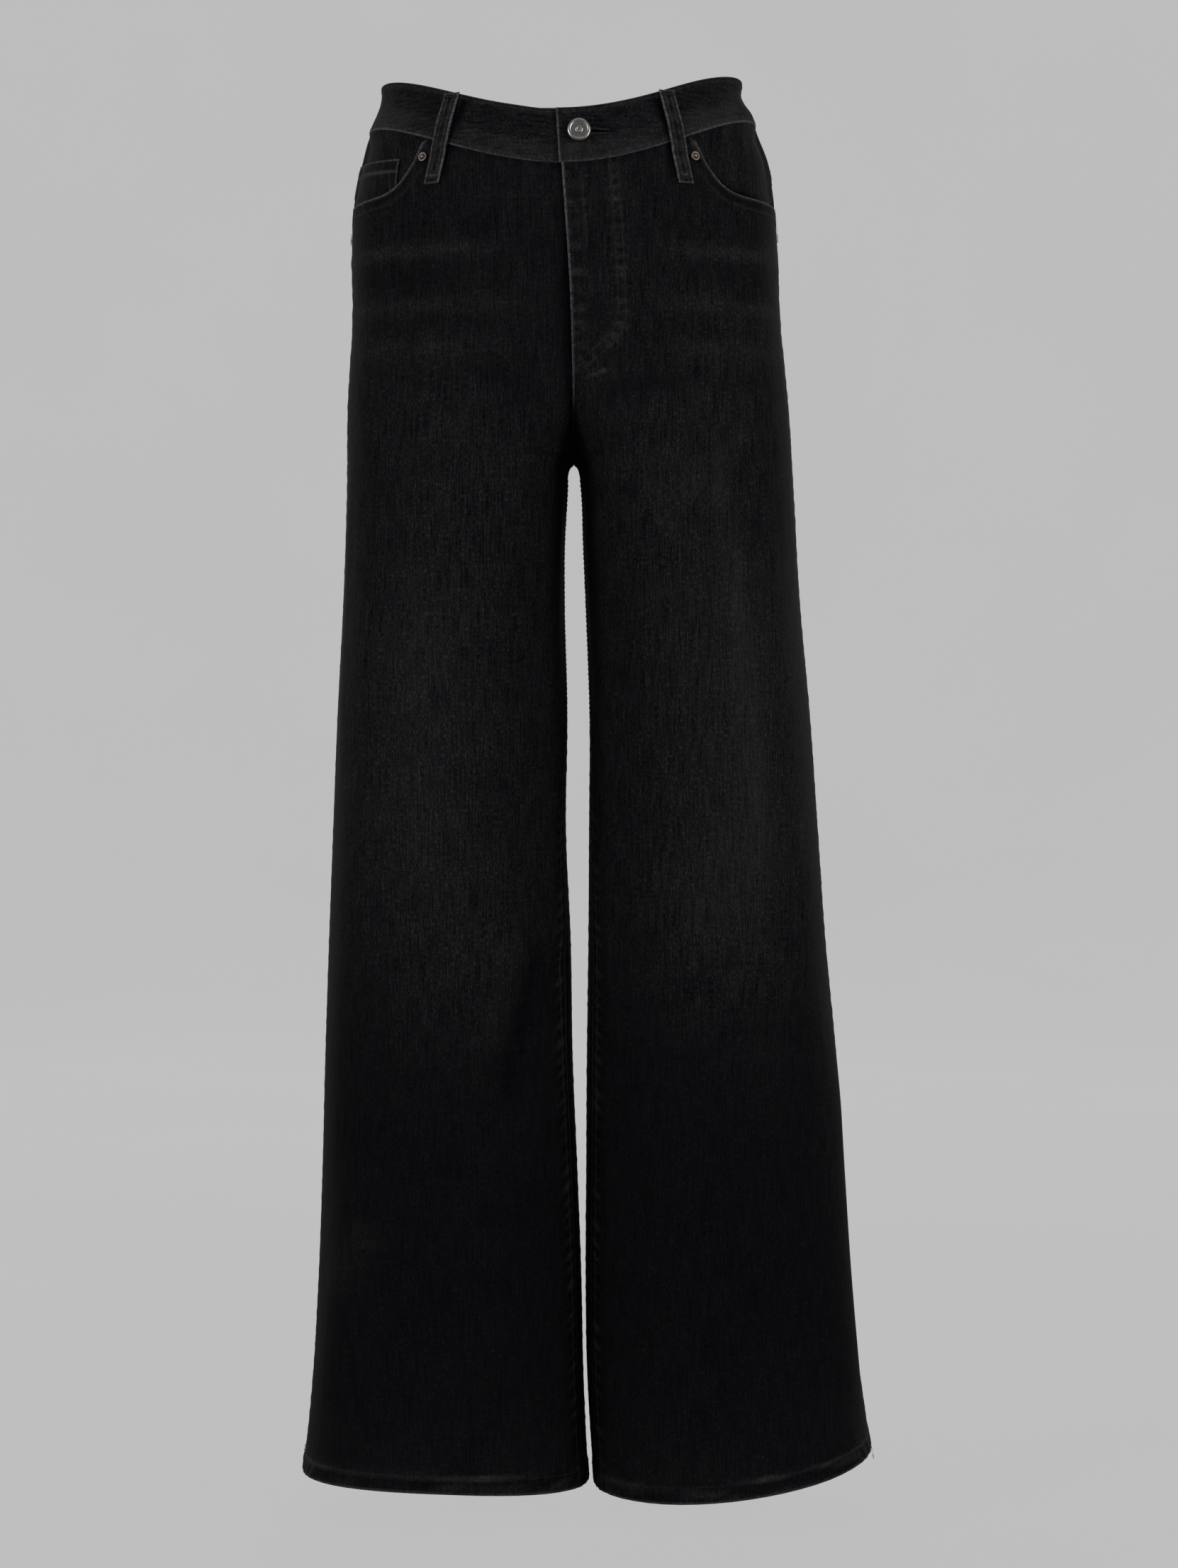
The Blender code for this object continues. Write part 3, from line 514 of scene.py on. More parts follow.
@lru_cache(maxsize=None)
def quarter(side, half):
    """One quarter of the garment's outer surface on the fine grid, before its folds."""
    z = LEVELS[:, None]
    outer = smooth(OUTLINE, side, z)
    rise = np.clip((z - CROTCH_Z) / (HIP_Z - CROTCH_Z), 0.0, 1.0)
    inner = np.where(rise > 0, smooth(CENTRE, "x", z), smooth(INSEAM, side, z))
    merged = ease((z - ROUND_LEG_Z) / (HIP_Z - ROUND_LEG_Z))
    centre = inner + (outer - inner) / 2 * (1 - merged)
    outer_radius, inner_radius = outer - centre, centre - inner
    inner_radius = inner_radius + (outer_radius - inner_radius) * rise**CROTCH_SHARPNESS
    start = np.arccos(np.clip((centre - inner) / inner_radius, 0, 1) ** (ROUNDNESS / 2)) * (rise > 0)
    angles = start + (math.pi - start) * np.linspace(0, 1, 421)
    power = 2 / ROUNDNESS
    across = np.sign(np.cos(angles)) * np.abs(np.cos(angles)) ** power
    deep = np.clip(np.sin(angles), 0, 1) ** power
    depth = smooth(DEPTH, half, z) * (-1 if half == "front" else 1)
    x = centre - np.where(across > 0, inner_radius, outer_radius) * across
    y = smooth(DEPTH, "plane", z) + depth * deep
    steps = np.hypot(np.diff(x, axis=1), np.diff(y, axis=1))
    along = np.concatenate([np.zeros_like(z), np.cumsum(steps, axis=1)], axis=1)
    points = np.empty((len(LEVELS), ACROSS, 3))
    plumb = np.empty(len(LEVELS))
    for k, level in enumerate(LEVELS):
        s = np.linspace(0, 1, ACROSS) * along[k, -1]
        points[k, :, 0] = np.interp(s, along[k], x[k])
        points[k, :, 1] = np.interp(s, along[k], y[k])
        points[k, :, 2] = level
        plumb[k] = np.interp(PLUMB_X, x[k] * SIGN[side], along[k])
    out = np.cross(np.gradient(points, axis=1), np.gradient(points, LEVELS, axis=0))
    if (side == "right") != (half == "back"):
        out = -out
    out /= np.linalg.norm(out, axis=2, keepdims=True)
    full = along[:, -1]
    ends = np.interp([ROUND_LEG_Z, HIP_Z], LEVELS, full)
    calm = np.where(
        (LEVELS > ROUND_LEG_Z) & (LEVELS < HIP_Z),
        np.interp(LEVELS, [ROUND_LEG_Z, HIP_Z], ends),
        full,
    )
    return {"points": points, "out": out, "length": full, "calm": calm, "plumb": plumb}


def length(side, half, z):
    """Length of the section at heights z from the inner edge to the outseam."""
    return np.interp(z, LEVELS, quarter(side, half)["length"])


def on_grid(values, u, z):
    """A fine grid's values at places, by the four grid points around each."""
    row = np.clip(np.interp(z, LEVELS, np.arange(len(LEVELS))), 0, len(LEVELS) - 1.001)
    column = np.clip(u, 0, 1) * (ACROSS - 1.001)
    r, c = row.astype(int), column.astype(int)
    fr, fc = (row - r)[..., None], (column - c)[..., None]
    upper = values[r, c] * (1 - fc) + values[r, c + 1] * fc
    lower = values[r + 1, c] * (1 - fc) + values[r + 1, c + 1] * fc
    return upper * (1 - fr) + lower * fr


def same_shape(*values):
    """Numbers and arrays as arrays of one shape."""
    return np.broadcast_arrays(*(np.asarray(value, float) for value in values))


def panel_path(side, half, u, z):
    """Shares across a panel and heights as (s, z) points."""
    return np.stack([u * length(side, half, z), z], axis=-1)


def band_height(edge, side, half, u):
    """Height of the waistband's seam or top edge."""
    heights = BAND_EDGE[edge]
    turn = np.clip(np.cos(u * math.pi / 2), 0, 1)
    power = WAIST_DIP if half == "front" else 1.5
    return heights[side] + (heights[half] - heights[side]) * turn**power


def hem_height(side, half, u):
    """Height of the leg's bottom edge."""
    edge = HEM_EDGE[side]
    level = edge["outer"] + (edge["inner"] - edge["outer"]) * (1 + np.cos(math.pi * u)) / 2
    bow = edge[half] - (edge["outer"] + edge["inner"]) / 2
    return level + bow * np.sin(math.pi * u) ** 2


@lru_cache(maxsize=None)
def pocket_edge(side):
    """The front pocket's opening as u (rising) and height."""
    out, down = curve_through(POCKET_CURVE, "out", "down", 80)
    return point_u(side, "front", POCKET_CORNER_X[side] + out, POCKET_CORNER_Z), POCKET_CORNER_Z - down


def pocket_path(side):
    """The front pocket's opening as (s, z) points."""
    return panel_path(side, "front", *pocket_edge(side))


def pocket_height(side, u):
    """Height of the front pocket's opening; far above the waist seam inwards of it."""
    us, zs = pocket_edge(side)
    return np.where(u < us[0], 1.0, np.interp(u, us, zs))


def yoke_height(u):
    """Height of the yoke's seam on the back."""
    return YOKE_Z["centre"] + (YOKE_Z["side"] - YOKE_Z["centre"]) * u


def to_path(path, s, z):
    """Distance from a path of (s, z) points, and how far along it the nearest point is."""
    best = np.full(np.broadcast(s, z).shape, 1.0)
    along = np.zeros_like(best)
    run = 0.0
    for (s0, z0), (s1, z1) in zip(path, path[1:]):
        ds, dz = s1 - s0, z1 - z0
        size = math.hypot(ds, dz)
        t = np.clip(((s - s0) * ds + (z - z0) * dz) / size**2, 0, 1)
        away = np.hypot(s - s0 - t * ds, z - z0 - t * dz)
        near = away < best
        along = np.where(near, run + t * size, along)
        best = np.where(near, away, best)
        run += size
    return best, along


def fly_path(inset=0.0, count=24):
    """The fly's curved stitching as (s, z) points, or a row inside it."""
    s, z = curve_through(FLY_CURVE, "s", "z", count)
    ds, dz = np.gradient(s), np.gradient(z)
    size = np.hypot(ds, dz)
    return list(zip(s + inset * dz / size, z - inset * ds / size))


def ripple(place, seed):
    """Uneven waves between -1 and 1 along a seam: a crest and a trough every two steps."""
    strength = np.random.default_rng(seed).uniform(0.25, 1.0, 997)
    place = place + 0.35 * np.sin(place * 0.37 + seed) + 0.2 * np.sin(place * 0.91)
    k = np.floor(place).astype(int)
    t = ease(place - k)
    sign = 1 - 2 * (k % 2)
    return sign * (strength[k % 997] * (1 - t) - strength[(k + 1) % 997] * t)


def seam_place(edge, side, half, s, z):
    """Distance of places from one of a panel's seams, and how far along it they are."""
    full = length(side, half, z)
    u = s / full
    if edge == "inner":
        return s, z
    if edge == "inseam":
        return np.abs(s - inseam_turn(z) - 0.010), z + 0.4 * s
    if edge == "outer":
        return full - s, z
    if edge == "hem":
        up = z - hem_height(side, half, u)
        return up, s + 0.8 * up
    if edge == "waist":
        return np.abs(band_height("seam", side, half, u) - z), s
    if edge == "yoke":
        return np.abs(yoke_height(u) - z), s
    if edge == "pocket":
        return to_path(pocket_path(side)[::8], s, z)
    return to_path(fly_path(0.003), s, z)


def relief(side, half, s, z):
    """Height of folds, creases and puckers, and how pale their crests are, partly rubbed wear and partly
    painted highlight, with painted shade in sunken folds, creases and pucker troughs.
    """
    u = s / length(side, half, z)
    height = np.zeros(np.broadcast(s, z).shape)
    for u_top, u_low, z_top, z_low, width, rise in FOLDS[side, half]:
        t = (z_top - z) / (z_top - z_low)
        height += rise * bell(u - u_top - (u_low - u_top) * t, width) * ease(t * 4) * ease((1 - t) * 4)
    height *= ease(u * 8) * ease((1 - u) * 8)
    # Painted light: a fold is paler where it rises and darker where it sinks, by its height
    rubbed = FOLD_WEAR_AND_PAINTED_LIGHT * height * np.clip(smooth(WASH, "pale", z) / 0.3, 0.2, 1.0)
    for u_top, z_top, u_low, z_low, width, rise, rub_and_painted_light in CREASES[side, half]:
        size = float(length(side, half, (z_top + z_low) / 2))
        ends = [(u_top * size, z_top), (u_low * size, z_low)]
        away, along = to_path(ends, u * size, z)
        share = along / math.dist(*ends)
        soft = bell(away, width) * ease(4 * share) * ease(4 * (1 - share))
        height += rise * soft
        # A crease's paleness: rubbed wear and painted highlight where positive, painted shade where negative
        rubbed += rub_and_painted_light * soft * (0.75 + 0.35 * ripple(z / 0.0011 + 9 * u, 17))
    for edge, seed, z_top, z_low, spacing, depth, reach, rub_and_painted_light, inset in SEAMS[side, half]:
        away, along = seam_place(edge, side, half, s, z)
        window = ease((z_top - z) / 0.012) * ease((z - z_low) / 0.012) * bell(away - inset, reach)
        wave = ripple(along / spacing, seed) * window
        height += depth * wave
        # Pucker crests are rubbed paler; their troughs get painted shade
        rubbed += rub_and_painted_light * np.maximum(wave, -0.3 * window)
    return height, rubbed


def wash_and_painted_light(side, half, s, z):
    """How washed out the cloth is, from 0 to about 1, with painted shade beside the inseams and painted light
    and shade in some listed places.
    """
    full = length(side, half, z)
    tone = smooth(WASH, "pale", z) * (1 - smooth(WASH, "inner", z) * bell(s, 0.045))
    for u, height, wide, high, pale in BLEACHED_AND_PAINTED_LIGHT[side, half]:
        across, up = (s / full - u) * full / wide, (z - height) / high
        tone = tone + pale * np.exp(-across * across - up * up)
    return tone


def lay(side, half, s, z, lift=0.0):
    """Points of the draped surface at distance s and height z, moved out by a lift."""
    q = quarter(side, half)
    s, z = same_shape(s, z)
    u = s / length(side, half, z)
    height = relief(side, half, s, z)[0] + lift
    return on_grid(q["points"], u, z) + on_grid(q["out"], u, z) * height[..., None]


def point_u(side, half, x, z):
    """Share across a panel where it has a distance from the middle plane, at one height."""
    level = quarter(side, half)["points"][np.clip(np.searchsorted(LEVELS, z), 0, len(LEVELS) - 1)]
    return np.interp(x, level[:, 0] * SIGN[side], np.linspace(0, 1, ACROSS))


def weave_place(side, half, s, z):
    """Where the cloth's warp and weft lie: the warp hangs plumb in the middle of each leg."""
    q = quarter(side, half)
    across = SIGN[side] * (s - np.interp(z, LEVELS, q["plumb"]))
    apart = CUT_FROM[side, half]
    return np.stack([across + apart, z + 0.7 * apart + 0 * s], axis=-1)


# ---------------------------------------------------------------- shells


def rounded(away, thick):
    """How far a cloth edge rounds in at distances from it."""
    r = 0.46 * thick
    d = np.clip(away, 0, r)
    return r - np.sqrt(r * r - (r - d) ** 2)


def inseam_turn(z):
    """How far towards the front the inseam has turned with the leg's twist, at heights z."""
    return INSEAM_TURN * ease((-0.30 - z) / 0.36)


def folded_edge(away, stitch_rows=(), under=0.0, extra=0.0004):
    """Extra height beside a turned and stitched edge: the layer beneath, less the stitches' grooves."""
    height = extra * (1 - ease((away - under) / 0.002)) if under else 0.0 * away
    for row in stitch_rows:
        height = height - 0.00030 * bell(away - row, 0.0009)
    return height


def outseam_ridge(away):
    """Extra height where both layers' allowances lie beside the outseam."""
    return 0.0005 * bell(away, 0.004)


def rub_along(away, along, strength, width=0.0019, seed=1):
    """Pale wear beside an edge, uneven along it."""
    uneven = 0.80 + 0.20 * ripple(along / 0.0034, seed) + 0.12 * ripple(along / 0.0121, seed + 7)
    return strength * uneven * (1 - ease((away - width) / 0.0012))


def shell(piece, outer, inner, weave, marks, material, slot="denim", kept=None, inside=1.0):
    """A closed wall between two grids of points: its texture place, painted values, and how much its inner
    face shows the cloth's reverse. It takes the place of the CAD node of that name.
    """
    count_r, count_c = outer.shape[:2]
    total = count_r * count_c
    kept = np.ones((count_r - 1, count_c - 1), bool) if kept is None else kept
    index = np.arange(total).reshape(count_r, count_c)
    a, b, c, d = index[:-1, :-1], index[:-1, 1:], index[1:, 1:], index[1:, :-1]
    front = np.stack([a, b, c, d], axis=-1)[kept]
    padded = np.pad(kept, 1)
    beside = (padded[:-2, 1:-1], padded[1:-1, 2:], padded[2:, 1:-1], padded[1:-1, :-2])
    rims = []
    for (start, end), neighbour in zip(((a, b), (b, c), (c, d), (d, a)), beside):
        edge = kept & ~neighbour
        rims.append(np.stack([end[edge], start[edge], start[edge] + total, end[edge] + total], axis=-1))
    faces = np.concatenate([front, front[:, ::-1] + total, *rims])
    points = np.concatenate([outer.reshape(-1, 3), inner.reshape(-1, 3)])
    middle = front[len(front) // 2]
    corners = points[middle]
    facing = np.cross(corners[2] - corners[0], corners[3] - corners[1])
    if facing @ (corners[0] - points[middle[0] + total]) < 0:
        faces = faces[:, ::-1]
    used, faces = np.unique(faces, return_inverse=True)
    faces = faces.reshape(-1, 4)
    made = mesh_object(f"{piece}_cloth", points[used], faces.tolist(), material)
    flat = np.concatenate([weave.reshape(-1, 2)] * 2)[used]
    layer = made.data.uv_layers.new(name="weave")
    layer.uv.foreach_set("vector", flat[faces.ravel()].astype(np.float32).ravel())
    for key, value in marks.items():
        value = np.broadcast_to(value, outer.shape[:2]).ravel()
        paint(made, key, np.concatenate([value, value])[used])
    paint(made, "reverse", np.repeat([0.0, inside], total)[used])
    settle(made, slot, piece)
    return made


def mesh_object(name, points, faces, material):
    """A smooth mesh object from an array of points and a list of faces."""
    data = bpy.data.meshes.new(name)
    data.from_pydata(points.tolist(), [], faces)
    return finished(name, data, material)


def finished(name, data, material):
    """A mesh made smooth, with its material, as an object in the scene."""
    data.shade_smooth()
    data.materials.append(material)
    return linked(name, data)


def linked(name, data):
    """A new object in the scene."""
    made = bpy.data.objects.new(name, data)
    bpy.context.scene.collection.objects.link(made)
    return made


def lathe(profile, centre, axis, spokes):
    """A bmesh of rings along an axis, from radii and distances; a radius of 0 makes a point."""
    mesh = bmesh.new()
    rings = []
    for radius, reach, *_ in profile:
        middle = centre + axis * reach
        points = middle + spokes * radius if radius else [middle]
        rings.append([mesh.verts.new(point) for point in points])
    sides = len(spokes)
    for upper, lower in zip(rings, rings[1:]):
        for k in range(sides):
            corners = [upper[k % len(upper)], lower[k % len(lower)]]
            if len(lower) > 1:
                corners.append(lower[(k + 1) % sides])
            if len(upper) > 1:
                corners.append(upper[(k + 1) % sides])
            mesh.faces.new(corners)
    return mesh


def unpacked(name, mesh):
    """A bmesh as mesh data; the bmesh is freed."""
    data = bpy.data.meshes.new(name)
    mesh.to_mesh(data)
    mesh.free()
    return data


def paint(made, key, values):
    """Give every point of a mesh a painted value."""
    made.data.attributes.new(key, "FLOAT", "POINT").data.foreach_set("value", values.astype(np.float32))


def settle(made, slot, *nodes):
    """Hang a piece on the frame in place of its CAD nodes. The slot is not used."""
    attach(made, "root")
    if any(nodes):
        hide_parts(*nodes)


def leg_distances(side, half, z, near, shares, far):
    """Distances from the inner edge of a panel's columns: fixed beside both edges, spread between."""
    q = quarter(side, half)
    full = np.interp(z, LEVELS, q["length"])
    calm = np.interp(z, LEVELS, q["calm"])
    s = np.empty_like(z)
    a, b = len(near), len(near) + len(shares)
    s[:, :a] = near
    s[:, b:] = full[:, b:] - far
    g = 1 - shares
    s[:, a:b] = full[:, a:b] - (
        far[0] + g * (calm[:, a:b] - far[0] - near[-1]) + g**3 * (full[:, a:b] - calm[:, a:b])
    )
    return s


def spread(start, end, spacing):
    """Evenly spaced values at about a spacing, without the first."""
    count = max(1, round(abs(end - start) / spacing))
    return np.linspace(start, end, count + 1)[1:]


def edge_columns(reach, spacing):
    """Distances from an edge: close together where it rounds, then evenly spaced."""
    return np.concatenate([ROUND_STEPS, spread(ROUND_STEPS[-1], reach, spacing)])


def panel_columns(half):
    """A leg panel's columns: distances near the inner edge, shares between, distances from the outseam."""
    if half == "front":
        near, count, far = edge_columns(0.0580, 0.0013), 16, edge_columns(0.0560, 0.0017)
    else:
        near, count, far = edge_columns(0.0150, 0.0016), 47, edge_columns(0.0150, 0.0018)
    return near, np.linspace(0, 1, count + 2)[1:-1], far[::-1]


def column_heights(side, half, top_of, low_of, fixed):
    """Heights and distances of a panel's grid, with each point's distance from the top and the bottom edge:
    rows that follow both edges, and fixed levels between.
    """
    columns = panel_columns(half)
    count = sum(len(part) for part in columns)
    top, low = np.full((1, count), fixed[0]), np.full((1, count), fixed[-1])
    for _ in range(6):
        top = top_of(leg_distances(side, half, top, *columns) / length(side, half, top))
        low = low_of(leg_distances(side, half, low, *columns) / length(side, half, low))
    upper = [top - step for step in ROUND_STEPS]
    lower = [low + step for step in ROUND_STEPS][::-1]
    upper += [upper[-1] * (1 - t) + fixed[0] * t for t in np.linspace(0, 1, 26)[1:-1]]
    lower = [fixed[-1] * (1 - t) + lower[0] * t for t in np.linspace(0, 1, 9)[1:-1]] + lower
    z = np.concatenate(upper + [np.full((1, count), level) for level in fixed] + lower)
    return z, leg_distances(side, half, z, *columns), top - z, z - low


def leg_levels():
    """Level rows of a leg panel, closer together where the crotch curves."""
    crotch = CROTCH_Z + 0.016 * np.linspace(1, 0, 9) ** 2
    return np.concatenate(
        [spread(-0.1175, crotch[0], 0.0026), crotch[1:], spread(CROTCH_Z, -0.985 + HEM_DEPTH, 0.0026)]
    )


def front_marks(side, s, z):
    """Lift of a front's outer face, how far the whole cloth is sunk, and its worn edges."""
    full = length(side, "front", z)
    away, along = to_path(pocket_path(side)[::6], s, z)
    away = np.where(s / full > pocket_edge(side)[0][0] - 0.01, away, 1.0)
    height = folded_edge(away, OPENING_ROWS, OPENING_UNDER)
    edge = rub_along(away, along, 0.75, 0.0006, seed=11)
    second = bell(away - OPENING_ROWS[1], 0.0008) * (0.6 + 0.4 * ripple(along / 0.005, 12))
    edge = np.maximum(edge, 0.16 * second)
    closed = ease((z - FLY_END_Z + 0.004) / 0.010)
    sunk = 0.0 * s
    if side == "left":
        height, edge = fly_marks(s, z, closed, height, edge)
    else:
        sunk = -0.0008 * (1 - ease(s / 0.012)) * closed
    inseam = 1 - ease((z - CROTCH_Z) / 0.004)
    turned_in = s - inseam_turn(z)
    felled = ease(turned_in / 0.0008) * (1 - ease((turned_in - INSEAM_FELL) / 0.002))
    height = height + 0.0004 * inseam * felled
    for place, strong in ((0.0006, 0.75), (0.0090, 0.26)):
        line = bell(turned_in - place, 0.0010) * (0.70 + 0.30 * ripple(z / 0.0037, 23))
        edge = np.maximum(edge, strong * line * inseam)
    edge = np.maximum(edge, rub_along(full - s, z, 0.17, 0.0008, seed=22))
    return height + outseam_ridge(full - s), sunk, edge


def fly_marks(s, z, closed, height, edge):
    """The left front's lift and worn edges with those of the fly and of the seam below it."""
    height = height + 0.0011 * (1 - ease(s / 0.014)) * closed
    for inset in (0.0, FLY_ROW_GAP):
        row, _ = to_path(fly_path(inset), s, z)
        height = height - 0.00035 * bell(row, 0.0009)
        broken = 0.5 + 0.5 * ripple(z / 0.0042, 13) + 0.3 * ripple(z / 0.011, 14)
        edge = np.maximum(edge, 0.17 * bell(row, 0.0009) * broken)
    row, along_row = to_path(fly_path(FLY_ROW_GAP / 2), s, z)
    blotch = np.clip(0.6 * ripple(along_row / 0.0058, 18) + 0.5 * ripple(along_row / 0.0023, 19), 0, 1)
    edge = np.maximum(edge, 0.08 * np.exp(-((row / 0.0034) ** 4)) * blotch)
    smear = bell(s - 0.0138 - 0.0008 * ripple(z / 0.02, 15), 0.0014) * ease((z + 0.120) / 0.03)
    edge = np.maximum(edge, 0.14 * smear * (0.6 + 0.5 * ripple(z / 0.006, 16)) * ease((-0.057 - z) / 0.01))
    strength = 0.50 + 0.35 * ease((z + 0.18) / 0.08)
    edge = np.maximum(edge, rub_along(s, z, 1.0, 0.0009, seed=5) * strength * closed)
    below_fly = (1 - closed) * ease((z - CROTCH_Z) / 0.01)
    height = height + folded_edge(s, RISE_ROWS, RISE_UNDER) * below_fly
    return height, np.maximum(edge, rub_along(s, z, 0.60, 0.0009, seed=6) * below_fly)


def back_marks(side, s, z):
    """Lift of a back's outer face, how far the whole cloth is sunk, and its worn edges."""
    full = length(side, "back", z)
    seat = ease((z - CROTCH_Z) / 0.01)
    height = outseam_ridge(full - s)
    if side == "left":
        height = height + folded_edge(s, SEAM_ROWS, SEAM_UNDER) * seat
        edge = rub_along(s, z, 0.28, 0.0008, seed=41) * seat
    else:
        edge = rub_along(s, z, 0.10, 0.0006, seed=42) * seat
    edge = np.maximum(edge, rub_along(full - s, z, 0.14, 0.0007, seed=43))
    edge = np.maximum(edge, rub_along(s, z, 0.06, 0.0005, seed=44) * (1 - seat))
    return height, -0.0002 * bell(yoke_height(s / full) - z, 0.002), edge


def leg_marks(side, half, s, z):
    """Lift, sinking and worn edges of a leg panel with its turned-up hem."""
    height, sunk, edge = (front_marks if half == "front" else back_marks)(side, s, z)
    up = z - hem_height(side, half, s / length(side, half, z))
    height = height + folded_edge(up, (HEM_DEPTH,), HEM_DEPTH + 0.001, 0.0005)
    seed = 31 if side == "left" else 33
    edge = np.maximum(edge, rub_along(up, s, 0.30, 0.0010, seed))
    row = bell(up - HEM_DEPTH, 0.0008) * (0.65 + 0.35 * ripple(s / 0.0042, seed + 1))
    return height, sunk, np.maximum(edge, 0.30 * row)


def panel_height(side, half, s, z):
    """Height of a leg panel's outer face above its surface."""
    height, sunk, _ = leg_marks(side, half, s, z)
    return height + sunk


def painted_shade_beside(side, half, s, z):
    """Painted shade: darker cloth beside the fly's edge, the inseams, the waistband, the front belt loops and
    the pocket's opening, where shade falls.
    """
    above = ease((z - CROTCH_Z) / 0.01)
    # Painted shade beside the inseams below the crotch
    dark = -0.10 * bell(s, 0.012) * (1 - above)
    u = s / length(side, half, z)
    under = band_height("seam", side, half, u) - z
    if half == "back":
        # Painted shade under the waistband's seam
        return dark - 0.30 * bell(under, 0.0045)
    if side == "right":
        # Painted shadow of the left front's lapped edge on the right front
        dark = dark - 0.65 * bell(s, 0.0065) * above * (0.35 + 0.65 * ease((-0.085 - z) / 0.06))
    else:
        fly = ease((z - FLY_END_Z + 0.02) / 0.03)
        # Painted shade beside the centre seam below the fly
        dark = dark - 0.25 * bell(s - 0.003, 0.003) * above * (1 - fly)
    # Painted shadow beside the front belt loops and under the waistband's seam
    dark = dark - 0.7 * beside_loops(side, s, z) - 0.30 * bell(under, 0.0045)
    # Painted shade just below the pocket's opening edge
    us, zs = pocket_edge(side)
    below = np.interp(u, us, zs, left=9.0) - z
    return dark - 0.30 * bell(below - 0.0045, 0.0025) * (u > us[0])


def beside_loops(side, s, z):
    """1 in the shadow of a front belt loop, on its side towards the centre, and 0 away from it."""
    x_top, x_foot, foot = next(loop[3:] for loop in LOOPS if loop[1:3] == (side, "front"))
    heights = np.linspace(foot, 0.0, 10)
    x = np.interp(heights, [foot, 0.012], [x_foot, x_top])
    away = np.interp(z, heights, s_at_x(side, "front", x, heights)) - LOOP_WIDTH / 2 - s
    return ease(1 + away / 0.002) * (1 - ease(away / 0.0080)) * ease((z - foot) / 0.006)


def build_leg(side, half, settings):
    """One front or back: a fine shell from its top edge to its hem, and its stitches."""

    def top_of(u):
        if half == "back":
            return yoke_height(u) + LAP
        return np.minimum(band_height("seam", side, half, u), pocket_height(side, u)) + LAP

    low_of = partial(hem_height, side, half)
    z, s, from_top, from_low = column_heights(side, half, top_of, low_of, leg_levels())
    full = length(side, half, z)
    height, sunk, edge = leg_marks(side, half, s, z)
    thick = np.where(from_low < HEM_DEPTH + 0.001, FOLDED_DENIM, DENIM)
    bend = rounded(np.minimum(np.minimum(from_top, from_low), np.minimum(s, full - s)), DENIM)
    outer = lay(side, half, s, z, height + sunk - bend)
    inner = lay(side, half, s, z, bend - thick + sunk)
    # The fade takes the wash with its painted light and shade, the folds' and creases' painted light and
    # shade, and the painted shade beside edges; the wear takes in their pale crests
    rubbed = relief(side, half, s, z)[1]
    marks = {
        "fade_and_painted_light": wash_and_painted_light(side, half, s, z) + rubbed + painted_shade_beside(side, half, s, z),
        "wear": np.maximum(edge, 0.30 * np.clip(rubbed, 0, 1)),
    }
    kept = clear_of_rivet(side, s, z) if half == "front" else None
    weave = weave_place(side, half, s, z)
    made = shell(f"{half}_{side}", outer, inner, weave, marks, denim(settings), kept=kept)
    declare(made, outer, stitched=(leg_stitching(side, half, settings),))


# ---------------------------------------------------------------- materials


def node(tree, kind, **settings):
    """A new shader node with its settings."""
    made = tree.nodes.new(kind)
    for key, value in settings.items():
        setattr(made, key, value)
    return made


def wire(tree, value, socket):
    """Link a socket to an input, or set the input's own value."""
    if isinstance(value, bpy.types.NodeSocket):
        tree.links.new(value, socket)
    elif isinstance(value, tuple) and socket.type == "RGBA" and len(value) == 3:
        socket.default_value = (*value, 1.0)
    else:
        socket.default_value = value


def calc(tree, operation, *values, clamp=False):
    """A Math node's result."""
    made = node(tree, "ShaderNodeMath", operation=operation, use_clamp=clamp)
    for value, socket in zip(values, made.inputs):
        wire(tree, value, socket)
    return made.outputs[0]


def swing(tree, value, weight, base, clamp=False):
    """A base value moved up and down by a noise value around its middle."""
    return calc(tree, "MULTIPLY_ADD", calc(tree, "SUBTRACT", value, 0.5), weight, base, clamp=clamp)


def between(tree, value, low, high, to_low=0.0, to_high=1.0):
    """A value eased from one range to another."""
    made = node(tree, "ShaderNodeMapRange", interpolation_type="SMOOTHSTEP")
    for item, socket in zip((value, low, high, to_low, to_high), made.inputs):
        wire(tree, item, socket)
    return made.outputs[0]


def blend(tree, share, first, second, mix=None):
    """A mix of two colours."""
    mix = mix or node(tree, "ShaderNodeMix", data_type="RGBA")
    for value, socket in zip((share, first, second), (0, 6, 7)):
        wire(tree, value, mix.inputs[socket])
    return mix.outputs[2]


def noise(tree, vector, stretch, detail=2.0, roughness=0.55):
    """Noise whose cells have the given sizes along each axis."""
    scaled = node(tree, "ShaderNodeVectorMath", operation="MULTIPLY")
    wire(tree, vector, scaled.inputs[0])
    scaled.inputs[1].default_value = [1 / size for size in stretch]
    made = node(tree, "ShaderNodeTexNoise", noise_dimensions="3D")
    wire(tree, scaled.outputs[0], made.inputs["Vector"])
    wire(tree, 1.0, made.inputs["Scale"])
    wire(tree, detail, made.inputs["Detail"])
    wire(tree, roughness, made.inputs["Roughness"])
    return made.outputs["Fac"]


def painted(tree, key):
    """A mesh's painted value."""
    return node(tree, "ShaderNodeAttribute", attribute_type="GEOMETRY", attribute_name=key).outputs["Fac"]


def new_group(name, inputs, outputs):
    """A shader node group with named sockets; each input has a kind and a default."""
    tree = bpy.data.node_groups.new(name, "ShaderNodeTree")
    for key, (kind, default) in inputs.items():
        socket = tree.interface.new_socket(name=key, in_out="INPUT", socket_type=f"NodeSocket{kind}")
        socket.default_value = default
    for key, kind in outputs.items():
        tree.interface.new_socket(name=key, in_out="OUTPUT", socket_type=f"NodeSocket{kind}")
    return tree, node(tree, "NodeGroupInput"), node(tree, "NodeGroupOutput")


